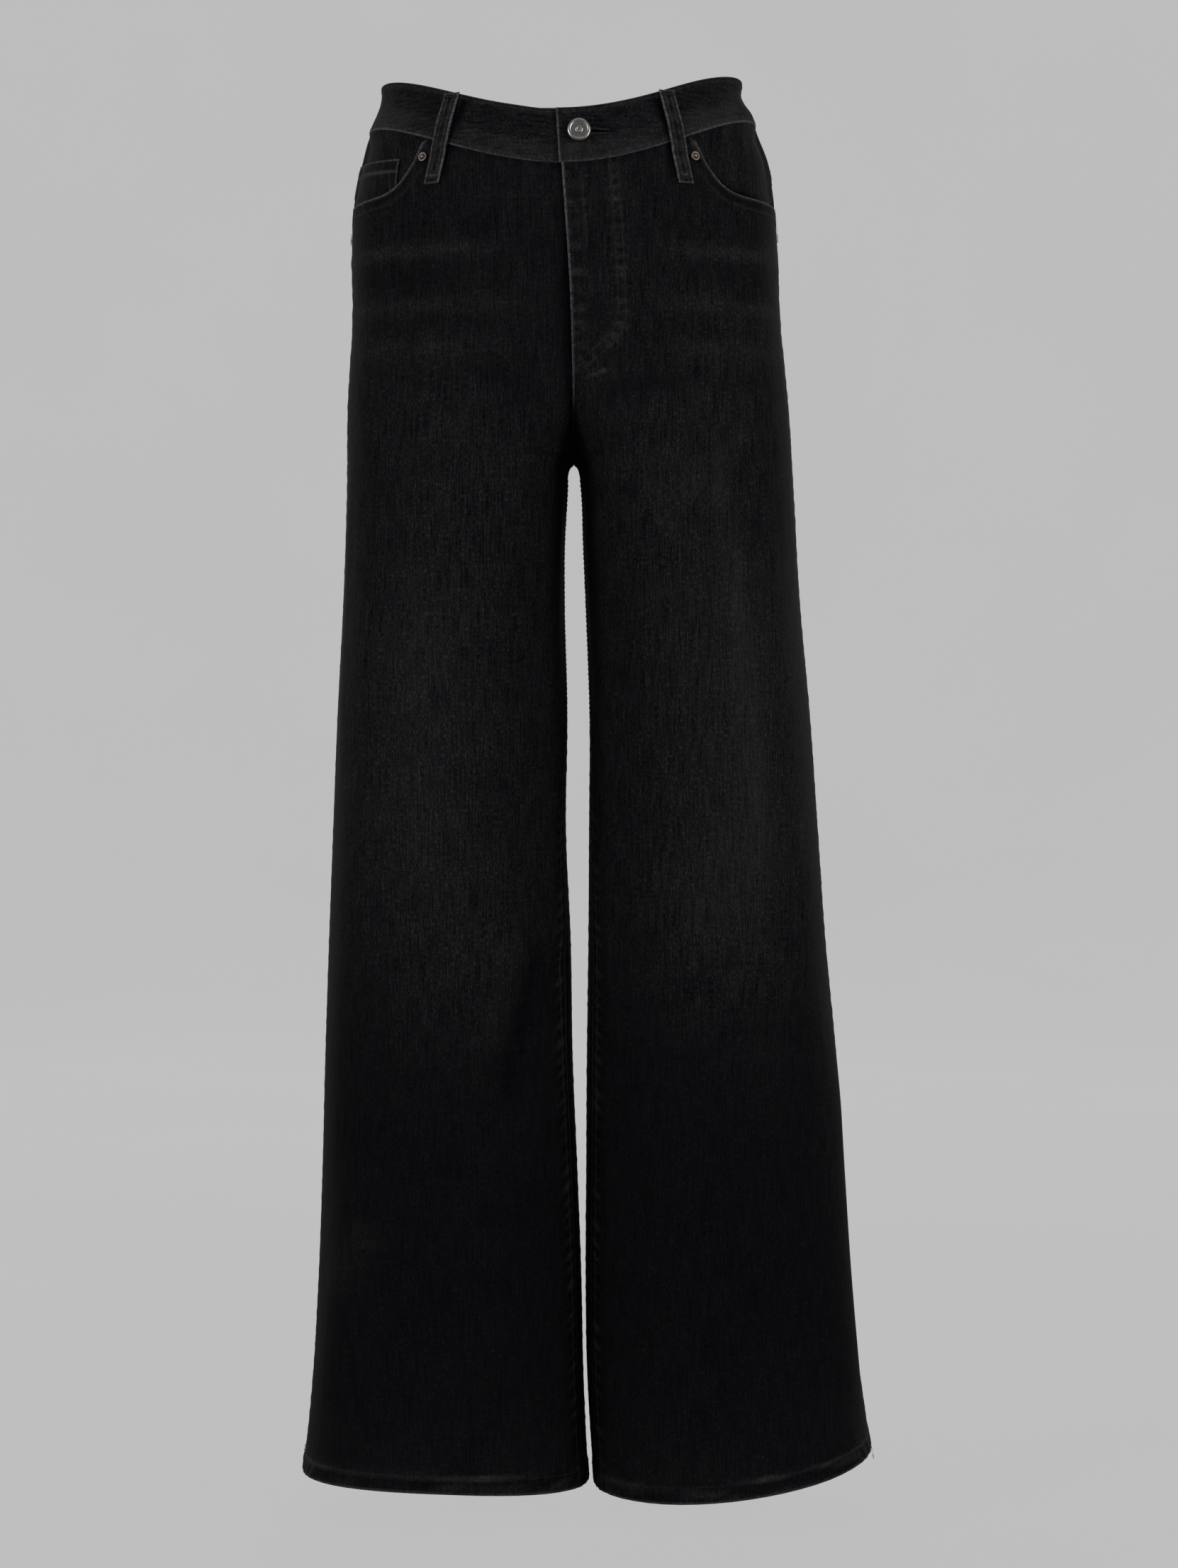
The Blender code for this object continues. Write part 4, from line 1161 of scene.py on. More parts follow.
def denim_weave():
    """Node group: slubby twill cloth that is paler where it is washed or rubbed, and lighter or darker where
    light and shade are painted into its fade.
    """
    name = "Washed twill"
    if name in bpy.data.node_groups:
        return bpy.data.node_groups[name]
    tree, given, result = new_group(
        name,
        {
            "Dark": ("Color", (0.010, 0.010, 0.012, 1.0)),
            "Pale": ("Color", (0.040, 0.040, 0.045, 1.0)),
            "Rubbed": ("Color", (0.30, 0.31, 0.33, 1.0)),
            "Reverse": ("Color", (0.05, 0.05, 0.055, 1.0)),
            "Slub": ("Float", 1.0),
        },
        {"Color": "Color", "Roughness": "Float", "Height": "Float"},
    )
    place = node(tree, "ShaderNodeUVMap", uv_map="weave").outputs[0]
    streak = noise(tree, place, (0.0013, 0.028, 1.0), 1.0, 0.6)
    slub = noise(tree, place, (0.0011, 0.016, 1.0), 1.0)
    speck = noise(tree, place, (0.0012, 0.0028, 1.0), 1.0, 0.6)
    patch_tone = noise(tree, place, (0.009, 0.021, 1.0), 1.0)
    weft = noise(tree, place, (0.0075, 0.0009, 1.0), 1.0)
    cloud = noise(tree, place, (0.045, 0.060, 1.0), 3.0)
    parts = node(tree, "ShaderNodeSeparateXYZ")
    wire(tree, place, parts.inputs[0])
    lean = calc(tree, "MULTIPLY_ADD", parts.outputs[1], 0.55, parts.outputs[0])
    twill = calc(tree, "SINE", calc(tree, "MULTIPLY", lean, 2 * math.pi / 0.00095))
    fade_and_painted_light, wear, reverse = painted(tree, "fade_and_painted_light"), painted(tree, "wear"), painted(tree, "reverse")
    mottle = noise(tree, place, (0.0050, 0.0060, 1.0), 2.0)
    blotch = calc(tree, "MULTIPLY", calc(tree, "SUBTRACT", cloud, 0.5), 0.34)
    blotch = swing(tree, mottle, 0.38, swing(tree, patch_tone, 0.30, blotch))
    tone = calc(tree, "MULTIPLY_ADD", blotch, between(tree, fade_and_painted_light, 0.0, 0.35, 0.40, 1.0), fade_and_painted_light)
    threads = calc(tree, "MULTIPLY", calc(tree, "SUBTRACT", streak, 0.5), 1.75)
    dots = calc(
        tree, "MULTIPLY", between(tree, patch_tone, 0.3, 0.7, 0.30, 1.25), between(tree, speck, 0.50, 0.74)
    )
    threads = calc(tree, "ADD", dots, swing(tree, speck, 0.9, threads))
    threads = swing(tree, weft, 0.9, calc(tree, "SUBTRACT", threads, 0.25))
    threads = calc(tree, "MULTIPLY_ADD", between(tree, slub, 0.60, 0.74), 0.75, threads)
    threads = calc(tree, "MULTIPLY_ADD", twill, 0.06, threads)
    threads = calc(tree, "MULTIPLY", threads, given.outputs["Slub"])
    tone = calc(tree, "MULTIPLY_ADD", threads, between(tree, fade_and_painted_light, 0.0, 0.7, 0.24, 1.08), tone)
    tone = calc(tree, "MINIMUM", calc(tree, "MAXIMUM", tone, -0.2), 1.8)
    mix = node(tree, "ShaderNodeMix", data_type="RGBA", clamp_factor=False)
    colour = blend(tree, tone, given.outputs["Dark"], given.outputs["Pale"], mix)
    worn = calc(tree, "MULTIPLY", wear, swing(tree, weft, 1.2, swing(tree, speck, 2.4, 1.0)), clamp=True)
    colour = blend(tree, worn, colour, given.outputs["Rubbed"])
    behind = blend(tree, between(tree, weft, 0.35, 0.7), given.outputs["Reverse"], colour)
    wire(tree, blend(tree, reverse, colour, behind), result.inputs["Color"])
    wire(tree, between(tree, tone, 0.0, 1.0, 0.82, 0.92), result.inputs["Roughness"])
    raised = calc(tree, "MULTIPLY_ADD", twill, 0.25, calc(tree, "MULTIPLY", speck, 1.6))
    wire(tree, calc(tree, "MULTIPLY_ADD", streak, 0.8, raised), result.inputs["Height"])
    return tree


def start_material(name):
    """A new material, its node tree and its Principled shader."""
    made = bpy.data.materials.new(name)
    made.use_nodes = True
    return made, made.node_tree, made.node_tree.nodes["Principled BSDF"]


def preset(shader, **values):
    """Set constants on a node's own sockets. An underscore in a name stands for a space."""
    for key, value in values.items():
        shader.inputs[key.replace("_", " ")].default_value = value


def bump(tree, shader, height, strength, distance):
    """Feed a height to the shader's normal."""
    made = node(tree, "ShaderNodeBump")
    wire(tree, strength, made.inputs["Strength"])
    wire(tree, distance, made.inputs["Distance"])
    wire(tree, height, made.inputs["Height"])
    wire(tree, made.outputs[0], shader.inputs["Normal"])


def denim(settings):
    """Washed black stretch denim."""
    name = "washed_black_denim"
    if name in bpy.data.materials:
        return bpy.data.materials[name]
    made, tree, shader = start_material(name)
    cloth = node(tree, "ShaderNodeGroup", node_tree=denim_weave())
    for key in ("dark", "pale", "rubbed", "reverse"):
        wire(tree, tuple(getattr(settings, key)), cloth.inputs[key.title()])
    wire(tree, cloth.outputs["Color"], shader.inputs["Base Color"])
    wire(tree, cloth.outputs["Roughness"], shader.inputs["Roughness"])
    bump(tree, shader, cloth.outputs["Height"], 0.55, 0.00025)
    preset(shader, Specular_IOR_Level=0.08, Sheen_Weight=0.035, Sheen_Roughness=0.25)
    return made


def plain_weave(name, dark, light, pitch):
    """A fine plain-woven cotton or tape, in checks of warp over weft."""
    if name in bpy.data.materials:
        return bpy.data.materials[name]
    made, tree, shader = start_material(name)
    place = node(tree, "ShaderNodeUVMap", uv_map="weave").outputs[0]
    checks = node(tree, "ShaderNodeTexChecker")
    wire(tree, place, checks.inputs["Vector"])
    preset(checks, Scale=1 / pitch)
    cloud = noise(tree, place, (0.020, 0.030, 1.0), 3.0)
    thread = noise(tree, place, (0.0008, 0.008, 1.0), 2.0)
    tone = calc(tree, "MULTIPLY_ADD", checks.outputs["Fac"], 0.25, calc(tree, "MULTIPLY", cloud, thread))
    wire(tree, blend(tree, tone, dark, light), shader.inputs["Base Color"])
    wire(tree, between(tree, thread, 0.3, 0.7, 0.85, 0.95), shader.inputs["Roughness"])
    bump(tree, shader, tone, 0.4, 0.0002)
    preset(shader, Specular_IOR_Level=0.2)
    return made


def thread_material(settings):
    """Charcoal sewing thread, a little paler where it is rubbed."""
    name = "charcoal_thread"
    if name in bpy.data.materials:
        return bpy.data.materials[name]
    made, tree, shader = start_material(name)
    place = node(tree, "ShaderNodeTexCoord").outputs["Object"]
    twist = noise(tree, place, (0.0006, 0.0006, 0.0006), 2.0)
    cloud = noise(tree, place, (0.012, 0.012, 0.012), 2.0)
    tone = calc(tree, "MULTIPLY", between(tree, cloud, 0.35, 0.65, 0.5, 1.1), twist, clamp=True)
    thread = tuple(settings.thread)
    colour = blend(tree, tone, thread, tuple(settings.rubbed))
    wire(tree, blend(tree, painted(tree, "wear"), thread, colour), shader.inputs["Base Color"])
    wire(tree, between(tree, twist, 0.3, 0.7, 0.6, 0.8), shader.inputs["Roughness"])
    bump(tree, shader, twist, 0.3, 0.0002)
    preset(shader, Specular_IOR_Level=0.2)
    return made


def lint_material():
    """Pale fibres that cling to the cloth."""
    name = "pale_lint"
    if name in bpy.data.materials:
        return bpy.data.materials[name]
    made, tree, shader = start_material(name)
    place = node(tree, "ShaderNodeTexCoord").outputs["Object"]
    fleck = noise(tree, place, (0.0010, 0.0010, 0.0010), 2.0)
    colour = blend(tree, fleck, (0.08, 0.08, 0.08), (0.36, 0.36, 0.35))
    wire(tree, colour, shader.inputs["Base Color"])
    wire(tree, between(tree, fleck, 0.3, 0.7, 0.7, 0.9), shader.inputs["Roughness"])
    return made


def worn_metal(name, dark, light, roughness):
    """Antique metal: dark in its hollows, bright on its raised rings, finely scratched."""
    if name in bpy.data.materials:
        return bpy.data.materials[name]
    made, tree, shader = start_material(name)
    place = node(tree, "ShaderNodeTexCoord").outputs["Object"]
    cloud = noise(tree, place, (0.0028, 0.0028, 0.0028), 4.0, 0.65)
    speck = noise(tree, place, (0.0005, 0.0005, 0.0005), 3.0, 0.7)
    high = swing(tree, cloud, 0.9, painted(tree, "wear"))
    high = swing(tree, speck, 0.5, high, clamp=True)
    wire(tree, blend(tree, high, dark, light), shader.inputs["Base Color"])
    wire(tree, between(tree, high, 0.0, 1.0, roughness + 0.22, roughness), shader.inputs["Roughness"])
    preset(shader, Metallic=1.0)
    bump(tree, shader, speck, 0.25, 0.0001)
    return made


# ---------------------------------------------------------------- thread


def thread_bits(name, bits, radius, material, seed):
    """Many short arcs of thread as one mesh; bits holds their starts, middles, ends and outward steps."""
    start, middle, end, up = (np.concatenate(part) for part in zip(*bits))
    count, sides = len(start), 6
    shares = np.array([0.0, 0.25, 0.75, 1.0])[None, :, None]
    line = (
        start[:, None] * (1 - shares) * (1 - 2 * shares)
        + 4 * middle[:, None] * shares * (1 - shares)
        + end[:, None] * shares * (2 * shares - 1)
    )
    along = end - start
    along /= np.linalg.norm(along, axis=1, keepdims=True) + 1e-12
    beside = np.cross(along, up)
    beside /= np.linalg.norm(beside, axis=1, keepdims=True) + 1e-12
    over = np.cross(beside, along)
    angle = circle(sides)[:, None]
    spokes = beside[:, None] * np.cos(angle) + over[:, None] * np.sin(angle)
    girth = np.array([0.45, 1.0, 1.0, 0.45])[None, :, None, None] * radius
    points = line[:, :, None] + spokes[:, None] * girth
    ring = np.arange(sides)
    turn = (ring + 1) % sides
    quads = [np.stack([ring, sides + ring, sides + turn, turn], -1) + k * sides for k in range(3)]
    offset = np.arange(count)[:, None, None] * sides * 4
    faces = (np.concatenate(quads)[None] + offset).reshape(-1, 4).tolist()
    caps = np.stack([ring, (3 * sides + ring)[::-1]])
    faces += (caps[None] + offset).reshape(-1, sides).tolist()
    made = mesh_object(name, points.reshape(-1, 3), faces, material)
    chance = np.random.default_rng(seed).uniform(0.0, 0.30, count)
    paint(made, "wear", np.repeat(chance, sides * 4))
    settle(made, "denim")
    return made


def stitch_run(settings, place, face, path):
    """Stitches along a path on a surface. place gives points, face the height of the cloth's outer face."""
    stitch = settings.stitch_length
    path = np.asarray(path, float)
    run = np.concatenate([[0.0], np.cumsum(np.hypot(*np.diff(path, axis=0).T))])
    firsts = np.arange(0.0, run[-1] - stitch, stitch + settings.stitch_gap)
    made = []
    for share, rise in ((0.0, -STITCH_SUNK), (0.5, STITCH_PROUD), (1.0, -STITCH_SUNK)):
        a, b = (np.interp(firsts + share * stitch, run, path[:, k]) for k in (0, 1))
        made.append(place(a, b, face(a, b) + rise))
    return (*made, outwards(place, a, b, face(a, b)))


def outwards(place, a, b, height):
    """Short steps straight off a surface, at places on it."""
    return place(a, b, height + 0.001) - place(a, b, height)


def level(height):
    """A cloth face at an even height above the surface."""
    return lambda s, z: height + 0 * s


def upright(s, z):
    """A path of (s, z) points at heights z, at one distance or a distance for each."""
    return np.stack([s + 0 * z, z], axis=-1)


def bar_tack(place, face, first, last, reach, count):
    """A close zigzag of thread from one place to another."""
    first, last = np.array(first), np.array(last)
    t = np.linspace(0, 1, count + 1)[:, None]
    turn = (last - first)[::-1] * (1, -1) / np.linalg.norm(last - first)
    path = first + (last - first) * t + turn * reach * (1 - 2 * (np.arange(count + 1)[:, None] % 2))
    starts, ends = path[:-1], path[1:]
    made = []
    for at, rise in ((starts, 0.0), ((starts + ends) / 2, 0.0003), (ends, 0.0)):
        a, b = at.T
        made.append(place(a, b, face(a, b) + rise))
    return (*made, outwards(place, a, b, face(a, b)))


def sewn(piece, bits, settings, seed):
    """Stitches of one piece as one mesh that rides with it."""
    return thread_bits(f"{piece}_stitches", bits, settings.thread_width / 2, thread_material(settings), seed)


def declare(made, outer, stitched=()):
    """Measure a piece of cloth's widest row, measured level, its longest column and its area; nothing is
    kept.
    """
    width = np.hypot(*np.moveaxis(np.diff(outer[..., :2], axis=1), 2, 0)).sum(axis=1).max()
    long = np.linalg.norm(np.diff(outer, axis=0), axis=2).sum(axis=0).max()
    area = sum(face.area for face in made.data.polygons) / 2
    width = max(width, area / long)


# ---------------------------------------------------------------- fronts and backs


def rivet_place(side):
    """Distance and height of a rivet on its front."""
    return rivet_share(side) * float(length(side, "front", RIVET_Z)), RIVET_Z


def rivet_share(side):
    """Share across the front where its rivet lies."""
    return point_u(side, "front", RIVET_X[side], RIVET_Z)


def clear_of_rivet(side, s, z, reach=0.0016):
    """Which cells of a grid lie clear of the rivet's post."""
    s0, z0 = rivet_place(side)
    middle_s = (s[:-1, :-1] + s[1:, 1:]) / 2
    middle_z = (z[:-1, :-1] + z[1:, 1:]) / 2
    return np.hypot(middle_s - s0, middle_z - z0) > reach


def leg_stitching(side, half, settings):
    """Stitch rows of a front or back: hem, inseam, pocket opening, fly and rise."""
    place, face = partial(lay, side, half), partial(panel_height, side, half)
    run = partial(stitch_run, settings, place, face)
    u = np.linspace(0.002, 0.998, 120)
    bits = [run(panel_path(side, half, u, hem_height(side, half, u) + HEM_DEPTH))]
    insets, heights = SEAM_ROWS, np.linspace(-0.081, CROTCH_Z, 60)
    if half == "front":
        low = float(hem_height(side, half, 0.0)) + HEM_DEPTH
        inseam = np.linspace(CROTCH_Z - 0.012, low, 200)
        bits.append(run(upright(inseam_turn(inseam) + INSEAM_ROW, inseam)))
        bits += [run(path) for path in opening_paths(side)]
        insets, heights = RISE_ROWS, np.linspace(-0.205, CROTCH_Z, 30)
    if side == "left" and half == "front":
        bits += [run(fly_path()[:-1]), run(fly_path(FLY_ROW_GAP)[:-1])]
        bits.append(bar_tack(place, face, (0.0030, -0.1990), (0.0105, -0.1955), 0.0011, 9))
        bits.append(bar_tack(place, face, (0.0345, -0.1600), (0.0395, -0.1660), 0.0011, 8))
    if side == "left":
        bits += [run(upright(inset, heights)) for inset in insets]
    return sewn(f"{half}_{side}", bits, settings, (10 if side == "left" else 20) + len(half))


def opening_paths(side):
    """Both stitch rows along a front pocket's opening, from its rivet to the outseam."""
    edge = pocket_path(side)
    across = np.gradient(edge, axis=0)
    across = np.stack([across[:, 1], -across[:, 0]], axis=-1)
    across /= np.linalg.norm(across, axis=1, keepdims=True)
    across *= -np.sign(across[:, 1].mean())
    start = int(np.searchsorted(pocket_edge(side)[0], rivet_share(side)))
    made = []
    for inset in OPENING_ROWS:
        row = (edge + across * inset)[max(start, 4) :]
        full = length(side, "front", row[:, 1])
        seam = band_height("seam", side, "front", row[:, 0] / full)
        made.append(row[(row[:, 1] < seam - 0.0015) & (row[:, 0] < full - 0.0005)])
    return made


# ---------------------------------------------------------------- plain patches


def patch(piece, side, half, s, z, lift, thick, marks, material, slot="denim", extra=0.0, kept=None):
    """A sewn-on or hidden piece on the surface: rows of s and z with rounded edges."""
    bend = rounded(edge_distance(s, z), thick)
    outer = lay(side, half, s, z, lift + extra - bend)
    inner = lay(side, half, s, z, lift - thick + bend)
    return shell(piece, outer, inner, weave_place(side, half, s, z), marks, material, slot, kept), outer


def edge_distance(s, z):
    """Distance of each grid point from the grid's nearest side, measured along its rows and columns."""
    across = np.hypot(np.diff(s, axis=1), np.diff(z, axis=1))
    down = np.hypot(np.diff(s, axis=0), np.diff(z, axis=0))
    first = np.pad(np.cumsum(across, axis=1), ((0, 0), (1, 0)))
    upper = np.pad(np.cumsum(down, axis=0), ((1, 0), (0, 0)))
    sideways = np.minimum(first, first[:, -1:] - first)
    return np.minimum(sideways, np.minimum(upper, upper[-1:] - upper))


def spaced(start, end, spacing, thick):
    """Values from start to end, dense where both edges round."""
    steps = np.array([0.0, 0.06, 0.2, 0.46, 0.9]) * thick
    full = abs(end - start)
    middle = np.linspace(steps[-1], full - steps[-1], max(2, round(full / spacing)))
    return start + np.sign(end - start) * np.concatenate([steps[:-1], middle, full - steps[:-1][::-1]])


def block(u_values, top, low, spacing, thick):
    """Heights of a patch between two lines given at each u: one row for each share of the way down."""
    tall = float(np.max(top - low))
    share = spaced(0.0, tall, spacing, thick) / tall
    return top + (low - top) * share[:, None], np.broadcast_to(u_values, (len(share), len(u_values)))


def u_values(side, half, z, first_u, last_u, spacing, thick=DENIM):
    """Evenly spaced shares across a section, dense at both ends."""
    full = float(length(side, half, z))
    return spaced(first_u * full, last_u * full, spacing, thick) / full


def ring_parts(t):
    """Where round the waist each place lies: which places, leg, half and share across the half."""
    return (
        (t < 0, "left", "front", -t),
        ((t >= 0) & (t < 1), "right", "front", t),
        ((t >= 1) & (t < 2), "right", "back", 2 - t),
        ((t >= 2) & (t < 3), "left", "back", t - 2),
        ((t >= 3) & (t < 4), "left", "front", 4 - t),
        (t >= 4, "right", "front", t - 4),
    )


# ---------------------------------------------------------------- waistband


def ring_lay(t, z, lift):
    """Points round the waist: t runs 0 to 4 from the centre front by the wearer's right, back and left."""
    t, z, lift = same_shape(t, z, lift)
    points = np.empty((*t.shape, 3))
    for chosen, side, half, u in ring_parts(t):
        if chosen.any():
            s = u[chosen] * length(side, half, z[chosen])
            points[chosen] = lay(side, half, s, z[chosen], lift[chosen])
    return points


def ring_edges(t):
    """Heights of the waistband's lower and upper edge round the waist."""
    low, high = np.empty_like(t), np.empty_like(t)
    for chosen, side, half, u in ring_parts(t):
        low[chosen] = band_height("seam", side, half, u[chosen])
        high[chosen] = band_height("top", side, half, u[chosen])
    return low, high


def quarter_round():
    """Length of a quarter of the waistband, from the centre front to a side seam."""
    return float(length("left", "front", BUTTON_Z))


def band_lift(along):
    """Height of the waistband's outer face at a distance round it: the inner end lies under the lap."""
    sunk = (FOLDED_DENIM + GAP) * (1 - ease((along - 0.006) / 0.030))
    return BAND_PROUD - sunk


def band_base(t):
    """Height of the waistband's outer face round the waist, before it puffs."""
    return np.where(t < 1, band_lift(t * quarter_round()), BAND_PROUD)


def keyhole_half(s):
    """Half height of the keyhole's opening at a distance from the centre front."""
    eyelet = np.sqrt(np.clip(EYELET_R**2 - (s - BUTTON_S) ** 2, 0, None))
    return np.maximum(eyelet, 0.0010 - 0.0007 * ease((s - 0.020) / (KEYHOLE_END_S - 0.020)))


def band_columns():
    """Places round the waist of the waistband's columns, as t from 0 to 4."""
    under = np.concatenate(
        [
            -(UNDER_END_S - ROUND_STEPS),
            -np.arange(UNDER_END_S - 0.004, NAIL_R + BUTTON_S, -0.002),
            -BUTTON_S + np.linspace(-NAIL_R, NAIL_R, 7),
            -np.arange(BUTTON_S - NAIL_R - 0.001, 0, -0.0015),
        ]
    )
    over = np.concatenate(
        [
            np.arange(0.062, KEYHOLE_END_S, -0.0015),
            np.arange(KEYHOLE_END_S, BUTTON_S + EYELET_R, -0.0008),
            BUTTON_S + EYELET_R * np.cos(np.linspace(0, math.pi, 17)),
            np.arange(BUTTON_S - EYELET_R - 0.0008, 0.0006 - OVER_END_S, -0.0008),
            ROUND_STEPS[::-1] - OVER_END_S,
        ]
    )
    over = over[over >= -OVER_END_S - 1e-9]
    between_ends = np.linspace(0.0, 4 - 0.0635 / quarter_round(), 490)
    t = np.concatenate([under / quarter_round(), between_ends, 4 - over / quarter_round()])
    return np.unique(np.round(t, 7))


def band_openings(t):
    """The keyhole's and the nail hole's half height at each column, and which cells they cross."""
    s_over, s_under = (4 - t) * quarter_round(), -t * quarter_round()
    in_key = (s_over > BUTTON_S - EYELET_R - 1e-7) & (s_over < KEYHOLE_END_S + 1e-7)
    in_nail = np.abs(s_under - BUTTON_S) < NAIL_R + 1e-7
    nail = np.sqrt(np.clip(NAIL_R**2 - (s_under - BUTTON_S) ** 2, 1e-8, None))
    half_open = np.where(in_nail, nail, np.where(in_key, keyhole_half(s_over), 0.0006))
    return half_open, (in_key[:-1] & in_key[1:]) | (in_nail[:-1] & in_nail[1:])


# Rubbed and protected places on the waistband: distance from the centre front (positive on the wearer's
# right), share of its height, half extents, and how much paler
BAND_SPOTS = (
    (0.152, 0.22, 0.020, 0.34, 1.10),
    (0.125, 0.30, 0.014, 0.24, 0.40),
    (0.150, 0.75, 0.022, 0.24, 0.35),
    (0.064, 0.30, 0.006, 0.16, 0.50),
    (0.034, 0.24, 0.016, 0.16, 0.42),
    (0.008, 0.10, 0.005, 0.30, 0.20),
    (-0.008, 0.24, 0.006, 0.16, 0.70),
    (-0.020, 0.24, 0.0018, 0.22, 0.60),
    (-0.008, 0.80, 0.006, 0.12, 0.35),
    (-0.036, 0.30, 0.010, 0.12, 0.35),
    (-0.050, 0.16, 0.018, 0.16, 0.28),
    (-0.098, 0.24, 0.010, 0.28, 0.55),
    (-0.130, 0.20, 0.028, 0.30, 0.90),
    (-0.150, 0.66, 0.018, 0.30, 0.40),
)


def band_tone(t, z, share):
    """How pale the waistband is: paler low down and darker towards its top edge, rubbed in places, with
    painted shadow beside the front loops and at the keyhole's end.
    """
    along = t * quarter_round()
    mottle = ripple(along / 0.014 + 2 * share, 81)
    tone = 0.84 - 0.46 * ease((share - 0.25) / 0.30) + 0.14 * mottle * (1 - share)
    centre = np.where(t > 2, t - 4, t) * quarter_round()
    for place, height, wide, tall, pale in BAND_SPOTS:
        far = (centre - place) / wide
        tone = tone + pale * np.exp(-far * far - ((share - height) / tall) ** 2)
    # Painted shadow beside the front belt loops
    tone = tone - 0.7 * beside_loops("right", np.where(t > 2, -9.0, centre), z)
    tone = tone - 0.7 * beside_loops("left", np.where(t > 2, -centre, -9.0), z)
    # Painted shadow at the keyhole's narrow end
    near_key = np.hypot(((4 - t) * quarter_round() - 0.030) / 0.009, (z - BUTTON_Z) / 0.0035)
    return tone - 0.8 * bell(near_key, 1.0) * in_front(t)


def band_wear(t, z, low, high):
    """The waistband's worn edges, rubbed stitch rows and the buttonhole's rubbed rim."""
    along, s_over = t * quarter_round(), (4 - t) * quarter_round()
    wear = rub_along(high - z, along, 0.36, 0.0003, 82)
    sideways = np.abs(np.where(t > 2, t - 4, t)) * quarter_round()
    seam_rub = np.where(np.abs(t - 2) < 1, 0.34, 0.42 + 0.36 * ease((sideways - 0.045) / 0.05))
    wear = np.maximum(wear, rub_along(z - low, along, 1.0, 0.0006, 83) * seam_rub)
    for row_away in (high - z, z - low):
        row = bell(row_away - BAND_ROW, 0.0008) * (0.55 + 0.45 * ripple(along / 0.0036, 87))
        wear = np.maximum(wear, 0.34 * row)
    wear = np.maximum(wear, rub_along((t[0, -1] - t) * quarter_round(), z, 0.75, 0.0007, 84))
    slit = np.hypot(np.clip(np.abs(s_over - (BUTTON_S + KEYHOLE_END_S) / 2) - 0.0103, 0, 1), z - BUTTON_Z)
    rubbed = bell(slit - 0.0016, 0.0009) * (1 - ease((s_over - 0.023) / 0.004))
    return np.maximum(wear, 0.26 * rubbed * in_front(t))


def in_front(t):
    """1 on the waistband's lapping end."""
    return (t > 3.5).astype(float)


def build_waistband(settings):
    """The waistband: one folded strip round the waist with its keyhole and nail hole."""
    t, size = band_columns(), quarter_round()
    low, high = ring_edges(t)
    half_open, opened = band_openings(t)
    near_lap = np.maximum(1 - ease(((4 - t) * size - 0.036) / 0.024), 1 - ease((t * size - 0.004) / 0.024))
    middle = low + (high - low) * 0.44
    middle = middle + (BUTTON_Z - middle) * near_lap
    bottom = [low + step for step in ROUND_STEPS]
    top = [high - step for step in ROUND_STEPS[::-1]]
    lower = bottom[-1] + (middle - half_open - bottom[-1]) * np.linspace(0, 1, 11)[1:, None]
    upper = middle + half_open + (top[0] - middle - half_open) * np.linspace(0, 1, 12)[:-1, None]
    z = np.concatenate([bottom, lower, upper, top])
    kept = np.ones((z.shape[0] - 1, z.shape[1] - 1), bool)
    kept[len(bottom) + len(lower) - 1, opened] = False
    t = np.broadcast_to(t, z.shape)
    over_end = (t[0, -1] - t) * size
    ends = np.minimum((t - t[0, 0]) * size, over_end)
    bend = rounded(np.minimum(np.minimum(z - low, high - z), ends), FOLDED_DENIM)
    share = (z - low) / (high - low)
    base = band_base(t)
    height = base + 0.00035 * np.sin(math.pi * np.clip(share, 0, 1))
    for row_away in (high - z, z - low, over_end):
        height = height - 0.00030 * bell(row_away - BAND_ROW, 0.0010)
    outer = ring_lay(t, z, height - bend)
    inner = ring_lay(t, z, base - FOLDED_DENIM + bend)
    weave = np.stack([0.65 * z, 1.7 * t * size], axis=-1)
    marks = {"fade_and_painted_light": band_tone(t, z, share), "wear": band_wear(t, z, low, high)}
    made = shell("waistband", outer, inner, weave, marks, denim(settings), kept=kept, inside=0.15)
    stitched = sewn("waistband", band_stitching(settings), settings, 85)
    declare(made, outer, (stitched,))


def band_place(along, z, lift):
    """Points on the waistband at a distance round it from the centre front."""
    t = along / quarter_round()
    return ring_lay(t, z, band_base(t) + lift)


def band_stitching(settings):
    """Stitch rows along the waistband's edges and its lapping end, and the buttonhole's close stitches."""
    size = quarter_round()
    t = np.linspace(-0.034 / size, 4 - 0.0010 / size, 900)
    low, high = ring_edges(t)
    paths = [np.stack([t * size, line], axis=-1) for line in (high - BAND_ROW, low + BAND_ROW)]
    end = 4 * size - 0.0016
    paths.append([(end, -0.0505), (end, -0.0165)])
    bits = [stitch_run(settings, band_place, level(-0.0001), path) for path in paths]
    at = np.linspace(0.25, 2 * math.pi - 0.25, 30)
    around = np.stack([BUTTON_S - EYELET_R * np.cos(at + math.pi), BUTTON_Z + EYELET_R * np.sin(at)], axis=-1)
    out = np.stack([-np.cos(at + math.pi), np.sin(at)], axis=-1)
    slit = np.arange(BUTTON_S + EYELET_R, KEYHOLE_END_S + 0.0012, 0.00055)
    for way in (1, -1):
        edge = np.stack([slit, BUTTON_Z + way * keyhole_half(slit)], axis=-1)
        around = np.concatenate([around, edge])
        out = np.concatenate([out, np.stack([0 * slit, way + 0 * slit], axis=-1)])
    made = []
    for reach, rise in ((0.0, 0.0), (0.0011, 0.00045), (0.0021, 0.0)):
        s, z = (around + out * reach).T
        made.append(band_place(4 * size - s, z, rise))
    bits.append((*made, outwards(band_place, 4 * size - s, z, 0.0)))
    return bits


# ---------------------------------------------------------------- yoke, pockets and fly


